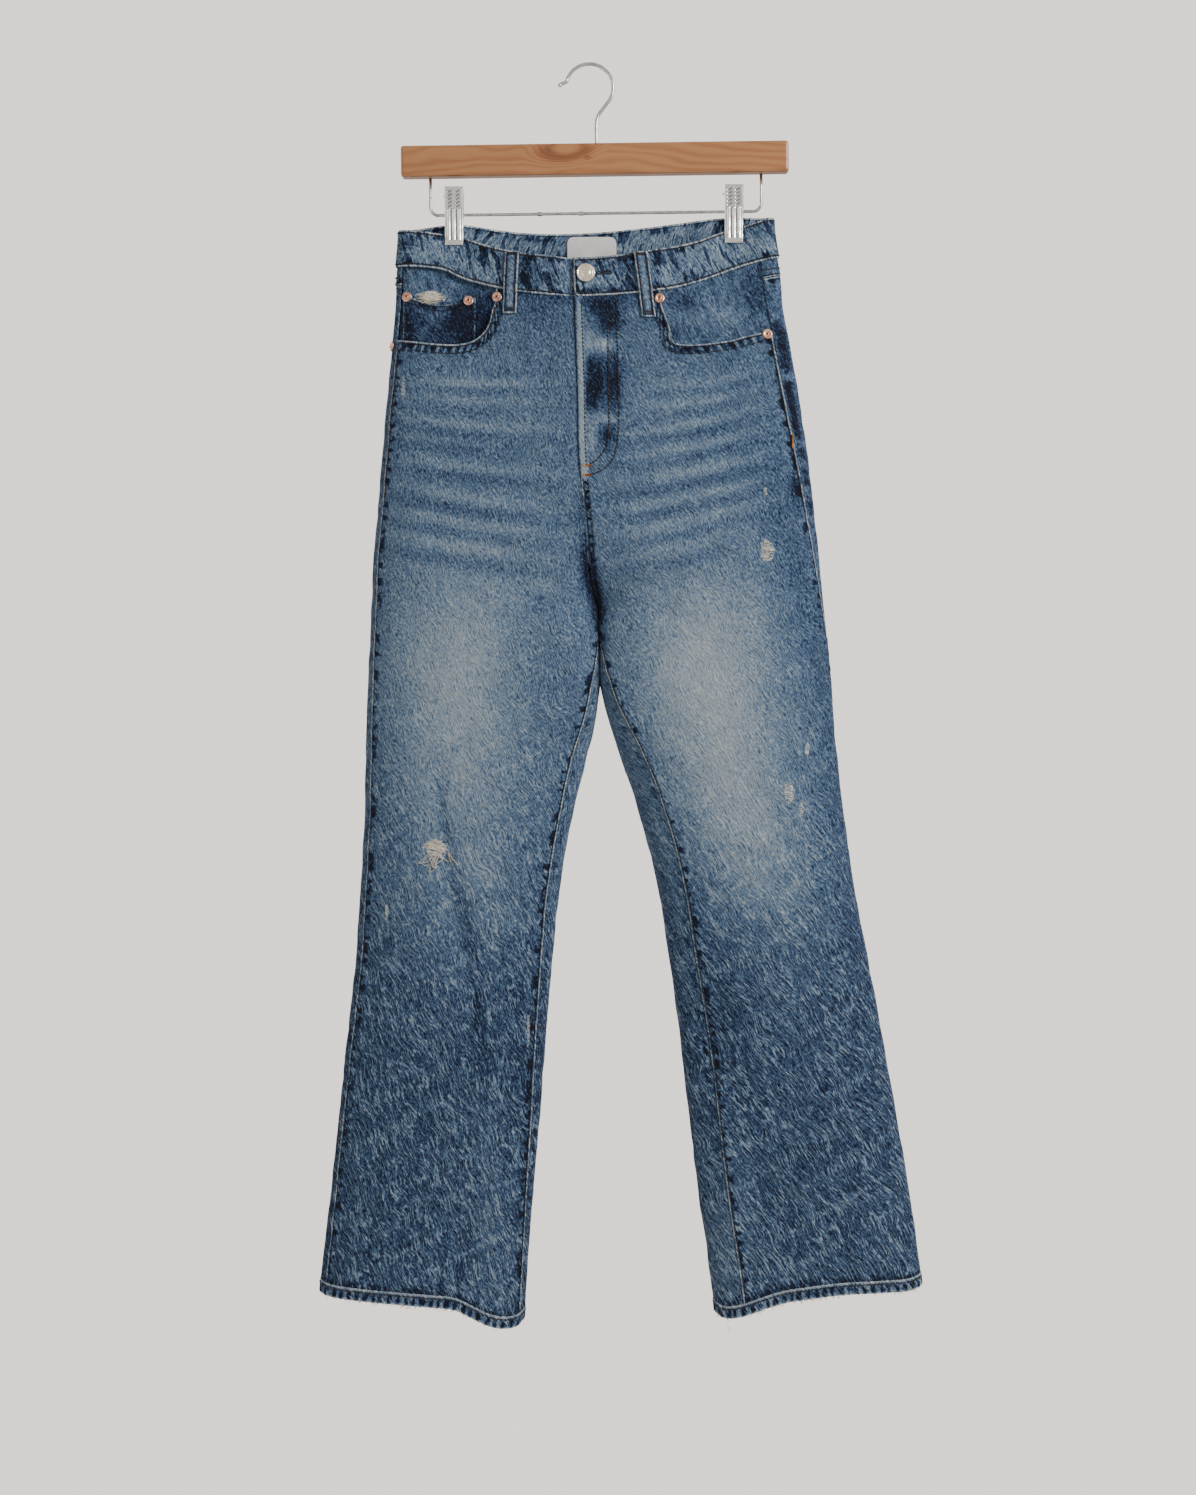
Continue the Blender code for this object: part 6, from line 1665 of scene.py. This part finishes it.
yarnMesh("kneeThreads", weftThreads(-141, -726, 10.5, 7, 18, 1.0, 0.22), 0.28 * mm, threadCream)
yarnMesh("kneeCurls", curls(-139, -730, 21, 18, 14), 0.25 * mm, threadCream)
yarnMesh("thighThreads", weftThreads(164.5, -453, 6, 9.5, 14, 0.9, 0.15), 0.28 * mm, threadCream)
nicks = (
    (-186, -785, 1.6, 6, 9), (-171, -302, 1.6, 10, 6), (163, -399, 1.6, 4.5, 5), (201.5, -636, 2, 6.5, 7),
    (184.5, -676, 3.6, 9, 11), (196, -690.5, 2, 6.5, 6), (-55.7, -894.5, 1.2, 14, 11))
yarnMesh("nickThreads", np.concatenate([weftThreads(*row, 0.5) for row in nicks]), 0.24 * mm, threadPale)
coinYarn = weftThreads(-147, -216.5, 11, 5.5, 30, 0.8, offset=-coin["depth"])
yarnMesh("coinThreads", coinYarn, 0.32 * mm, threadCream)

# fray along the hems: short ends that point down, and two longer ones on the left leg
frayEnds = []
for side in (-1, 1):
    middle = 0.55 if side < 0 else 0.4
    turn = np.concatenate([rng.uniform(0, 2, (90, 1)), rng.normal(middle, 0.16, (60, 1))])
    t = np.linspace(0, 1, 5)[None, :]
    length = rng.uniform(0.8, 3.6, turn.shape) ** 1.1 * mm
    height = hemEdge(side, turn) + 0.8 * mm - length * t
    swing = rng.uniform(-0.8, 0.8, turn.shape) * length * t ** 2 / faceLength(side, "front", hem["level"])
    frayEnds.append(cloth(side, turn + swing, height, rng.uniform(-0.6, 1.2, turn.shape) * mm + 0 * t))
yarnMesh("hemFray", np.concatenate(frayEnds), 0.30 * mm, threadCream)
t = np.linspace(0, 1, 12)
loose = []
for x, z, dx, dz in ((127.5, -1166, 5, -9), (135, -1160, 9, 7)):
    depth = face(False, np.array([x * mm]), np.array([-1.15]), 2 * mm)[0, 1]
    xs, zs = x + dx * t + 1.2 * np.sin(5 * t), z + dz * np.sin(2.4 * t)
    loose.append(np.stack([xs * mm, np.full(12, depth), zs * mm], axis=1))
yarnMesh("looseEnds", np.array(loose), 0.22 * mm, threadPale)
print("stitches and yarn ready")


# The hanger: hook, rod and clips

# A round wire along a path: circles square to it, its ends closed by small rings
def wireMesh(name, path, radii, material, reference, sides=20):
    run = np.gradient(path, axis=0)
    run = run / np.linalg.norm(run, axis=1, keepdims=True)
    side = np.cross(run, reference)
    side = side / np.linalg.norm(side, axis=1, keepdims=True)
    up = np.cross(run, side)
    angle = np.linspace(0, 2 * pi, sides, endpoint=False)
    ring = side[:, None] * np.cos(angle)[:, None] + up[:, None] * np.sin(angle)[:, None]
    points = path[:, None] + ring * np.array(radii)[:, None, None]
    faces = gridFaces(len(path), sides, False, True)
    last = (len(path) - 1) * sides
    caps = [range(sides)[::-1], range(last, last + sides)]
    return facedMesh(name, points.reshape(-1, 3), faces, material, caps)


# Smooth path through corner points: a chord-length Hermite curve
def smoothPath(points, count):
    points = np.array(points, float)
    along = np.concatenate([[0], np.cumsum(np.hypot(*np.diff(points, axis=0).T))])
    at = np.linspace(0, along[-1], count)
    return np.stack([smooth(at, along, points[:, 0]), smooth(at, along, points[:, 1])], axis=1)


# lengths in mm
bar = {"height": 29, "x": 5.9, "z": -87.6, "tilt": np.radians(0.8)}
hook = {"radius": 22, "wire": 1.7, "x": 0.8, "neckX": 7.3}
hookTip = ((-27.2, -19.6), (-26.4, -17.9), (-24, -16.4))
hookNeck = ((16.2, -36.4), (11.6, -42.4), (9, -46.4), (7.7, -50.4), (7.3, -55), (7.3, -63))


def barUnderside(x):
    return bar["z"] + (x - bar["x"]) * np.tan(bar["tilt"]) - bar["height"] / 2 / np.cos(bar["tilt"])


# A path of x and z in mm, put into the hanger's middle plane
def inPlane(path):
    return np.stack([path[:, 0], 0 * path[:, 0], path[:, 1]], axis=1) * mm


angle = np.radians(np.linspace(166, -24, 22))
arc = np.stack([hook["x"] + hook["radius"] * np.cos(angle),
                hook["wire"] - hook["radius"] + hook["radius"] * np.sin(angle)], axis=1)
neckTop = barUnderside(hook["neckX"]) + bar["height"] + 0.6
path = smoothPath(np.concatenate([hookTip, arc, hookNeck, [[hook["neckX"], neckTop]]]), 150)
# the tip ends in a small ball
ball = np.hypot(path[:, 0] - path[0, 0], path[:, 1] - path[0, 1])
radii = np.where(ball < 3.4, 0.25 + 0.98 * np.sqrt(np.clip(1 - ((ball - 1.5) / 1.9) ** 2, 0, 1)), 1)
radii[ball > 2.2] = 1
made = wireMesh("hangerHook", inPlane(path), radii * hook["wire"] * mm, wireSteel, (0, 1, 0), 24)
settle(made, ("hanger_hook",))

# the rod hangs from the bar at both ends, with two small stops on it, in mm
rod = {"wire": 1.45, "corner": 7.5, "right": (-146.9, -139.2), "left": (160.5, -135.3), "stops": (-45, -6.9),
       "stopWire": 2.1, "rightTop": -118, "leftTop": -114}


def rodCorner(end, side):
    bend = np.radians(np.linspace(180, 270, 12)[::-side])
    return np.stack([rod[end][0] - side * rod["corner"] * (1 + np.cos(bend)),
                     rod[end][1] + rod["corner"] * (1 + np.sin(bend))], axis=1)


(rightX, rightZ), (leftX, leftZ) = rod["right"], rod["left"]
level = np.linspace(rightX + rod["corner"] + 2, leftX - rod["corner"] - 2, 220)
path = np.concatenate([
    [[rightX, barUnderside(rightX) - 0.6], [rightX, rod["rightTop"]]], rodCorner("right", -1),
    np.stack([level, rightZ + (leftZ - rightZ) * (level - rightX) / (leftX - rightX)], axis=1),
    rodCorner("left", 1), [[leftX, rod["leftTop"]], [leftX, barUnderside(leftX) - 0.6]]])
radii = np.full(len(path), rod["wire"])
for stop in rod["stops"]:
    radii = radii + (rod["stopWire"] - rod["wire"]) * bell(path[:, 0] - stop, 2.2, 4)
made = wireMesh("hangerRod", inPlane(path), radii * mm, wireSteel, (0, 1, 0), 16)
settle(made, ("hanger_rod",))

# Clip plates: rise from the bottom edge, how far out the inner face is, and where the side
# flanges end, in mm
plate = {"halfWidth": 8.75 * mm, "steel": 1.0 * mm, "corner": 1.3 * mm, "tall": 53 * mm, "pinRise": 46 * mm,
         "across": 57, "rows": 118, "backFlange": -1.6 * mm, "backWidth": 7.45 * mm}
plateNames = ("rise", "inner", "flange")
plateRows = (
    (0, 3.9, 3.55), (2, 4.4, 3.6), (4, 3.95, 3.55), (16, 4.4, 3.8), (24.2, 5.3, 4.6),
    (26, 5.6, -2.4), (36, 7.4, -2.4), (48.6, 9.4, -2.4), (50, 9.6, 8.9), (53, 10, 9.3))


# Pressed form of a plate and how deep its grooves are, for painted shade there: three upright ribs, two
# columns of leaning grip marks above, a rim round the top and a lip at the foot
def pressed(across, rise):
    across, rise = across / mm, rise / mm
    inRibs = eased(rise, 3.5, 5) * eased(-rise, -33.5, -32)
    ribs = (0.5 + 0.5 * np.cos(2 * pi * across / 4.9)) ** 1.4 * eased(-np.abs(across), -7.4, -6.8)
    form = 0.75 * ribs * inRibs
    deep = 0.75 * inRibs * (1 - ribs) ** 3 * eased(-np.abs(across), -7.2, -6.4)
    for columnX in (-3.7, 3.7):
        for k in range(5):
            over = rise - 35.4 - 3.35 * k - 0.75 * np.sin(pi * (across - columnX) / 3)
            mark = bell(over, 0.75) * bell(across - columnX, 2.5, 6)
            form, deep = form - 0.65 * mark, deep + 0.9 * mark
    rim = bell(rise - 52.3, 0.8) + bell(np.abs(across) - 8, 0.6)
    return (form + 0.25 * rim * eased(rise, 32, 34) + 0.3 * bell(rise - 1.6, 1)) * mm, deep


# A plate's section is a U: flange, rounded corner, face, corner, flange, carried up the rise
def makePlate(name, x, bottom, facing):
    ahead = facing < 0
    halfWidth, corner = plate["halfWidth" if ahead else "backWidth"], plate["corner"]
    rise = np.linspace(0, plate["tall"], plate["rows"])[:, None]
    at, out, flange = (column(plateRows, plateNames, name) for name in plateNames)
    out = smooth(rise, at, out) + plate["steel"]
    flange = np.interp(rise, at, flange)
    flange = flange if ahead else np.where(flange < 0, plate["backFlange"], flange)
    bend, limb = np.linspace(0, pi / 2, 6)[None, 1:], np.linspace(0, 1, 8)[None, :]
    flat = np.linspace(-halfWidth + corner, halfWidth - corner, plate["across"] - 22)[None, 1:-1]
    limbX = np.concatenate([0 * limb, corner * (1 - np.cos(bend))], axis=1) - halfWidth + 0 * rise
    limbTop = out - corner
    limbY = np.concatenate([flange + (limbTop - flange) * limb, limbTop + corner * np.sin(bend)], axis=1)
    xs = np.concatenate([limbX, flat + 0 * rise, -limbX[:, ::-1]], axis=1)
    ys = np.concatenate([limbY, out + 0 * flat, limbY[:, ::-1]], axis=1)
    form, deep = pressed(xs * (1.0 if ahead else 1.17), rise + 0 * xs)
    flatMask = eased(ys, out - 0.5 * mm, out - 0.05 * mm)
    form = ys + form * (1.0 if ahead else 0.3) * flatMask
    inward = np.clip(xs / (halfWidth - corner), -1, 1) * plate["steel"]
    inward = inward * np.clip(np.abs(xs) / halfWidth, 0, 1) ** 6
    innerY = np.minimum(ys, out - 0.999 * plate["steel"])
    outer = np.stack([x + xs, facing * form, bottom + rise + 0 * xs], axis=2)
    inner = np.stack([x + xs - inward, facing * innerY, bottom + rise + 0 * xs], axis=2)
    # the grooves' depth goes to the mesh as painted shade
    made = sheetMesh(name, outer, inner, clipSteel, np.zeros(xs.shape + (2,)), deep * flatMask)
    made.data.set_sharp_from_angle(angle=np.radians(50))
    return made


for half, (x, bottom) in clips.items():
    clip, node = "clip" + half.capitalize(), "clip_" + half
    settle(makePlate(clip + "Front", x, bottom, -1), (node + "_front",))
    settle(makePlate(clip + "Back", x, bottom, 1), (node + "_back",))
    pinZ = bottom + plate["pinRise"]
    turn = np.linspace(0, 7 * 2 * pi, 7 * 22)
    coil = np.stack([4.6 * (2 * turn / turn[-1] - 1), 2.2 * np.cos(turn), 2.2 * np.sin(turn)], axis=1) * mm
    coil = coil + (x, 0, pinZ)
    made = wireMesh(clip + "Spring", coil, np.full(len(coil), 0.6 * mm), wireSteel, (1, 0, 0), 8)
    settle(made, (node + "_spring",))
    pin = np.array(((0.8, 0), (1.2, 0.3), (1.2, 20.1), (0.8, 20.4))) * mm
    made = turnedMesh(clip + "Pin", np.array([x - 10.2 * mm, 0, pinZ]), (1, 0, 0), pin, steel, 20)
    settle(made)

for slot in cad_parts["hanger_bar"].material_slots:
    slot.material = barWood
print("hanger ready")


# Pale backdrop colour and a small floor below

world = bpy.data.worlds.new("world")
bpy.context.scene.world = world
world.use_nodes = True
tree = world.node_tree
tree.nodes.clear()
start = Shade(tree, None)


def background(colour, strength):
    return start.node("ShaderNodeBackground", {}, {"Color": colour, "Strength": strength})


lit = background((1.0, 0.97, 0.93, 1), stage["backdropLight"])
seen = background(stage["backdropColour"], 1.0)
gloss = background((1.0, 0.98, 0.95, 1), stage["glossLight"])
cameraRay = start.node("ShaderNodeLightPath", {}, {}, 0)
glossRay = start.node("ShaderNodeLightPath", {}, {}, 3)
around = start.node("ShaderNodeMixShader", {}, {0: glossRay, 1: lit, 2: gloss})
both = start.node("ShaderNodeMixShader", {}, {0: cameraRay, 1: around, 2: seen})
worldOut = tree.nodes.new("ShaderNodeOutputWorld")
tree.links.new(both.out, worldOut.inputs["Surface"])

floorMaterial, floorShader = newMaterial("floor", Roughness=0.9)[:2]
floorShader.inputs["Base Color"].default_value = stage["floorColour"]
corners = [(x, y, stage["floorHeight"]) for x, y in ((-0.7, -0.8), (0.7, -0.8), (0.7, 0.22), (-0.7, 0.22))]
floor = meshObject("floor", corners, [(0, 1, 2, 3)], floorMaterial, False)
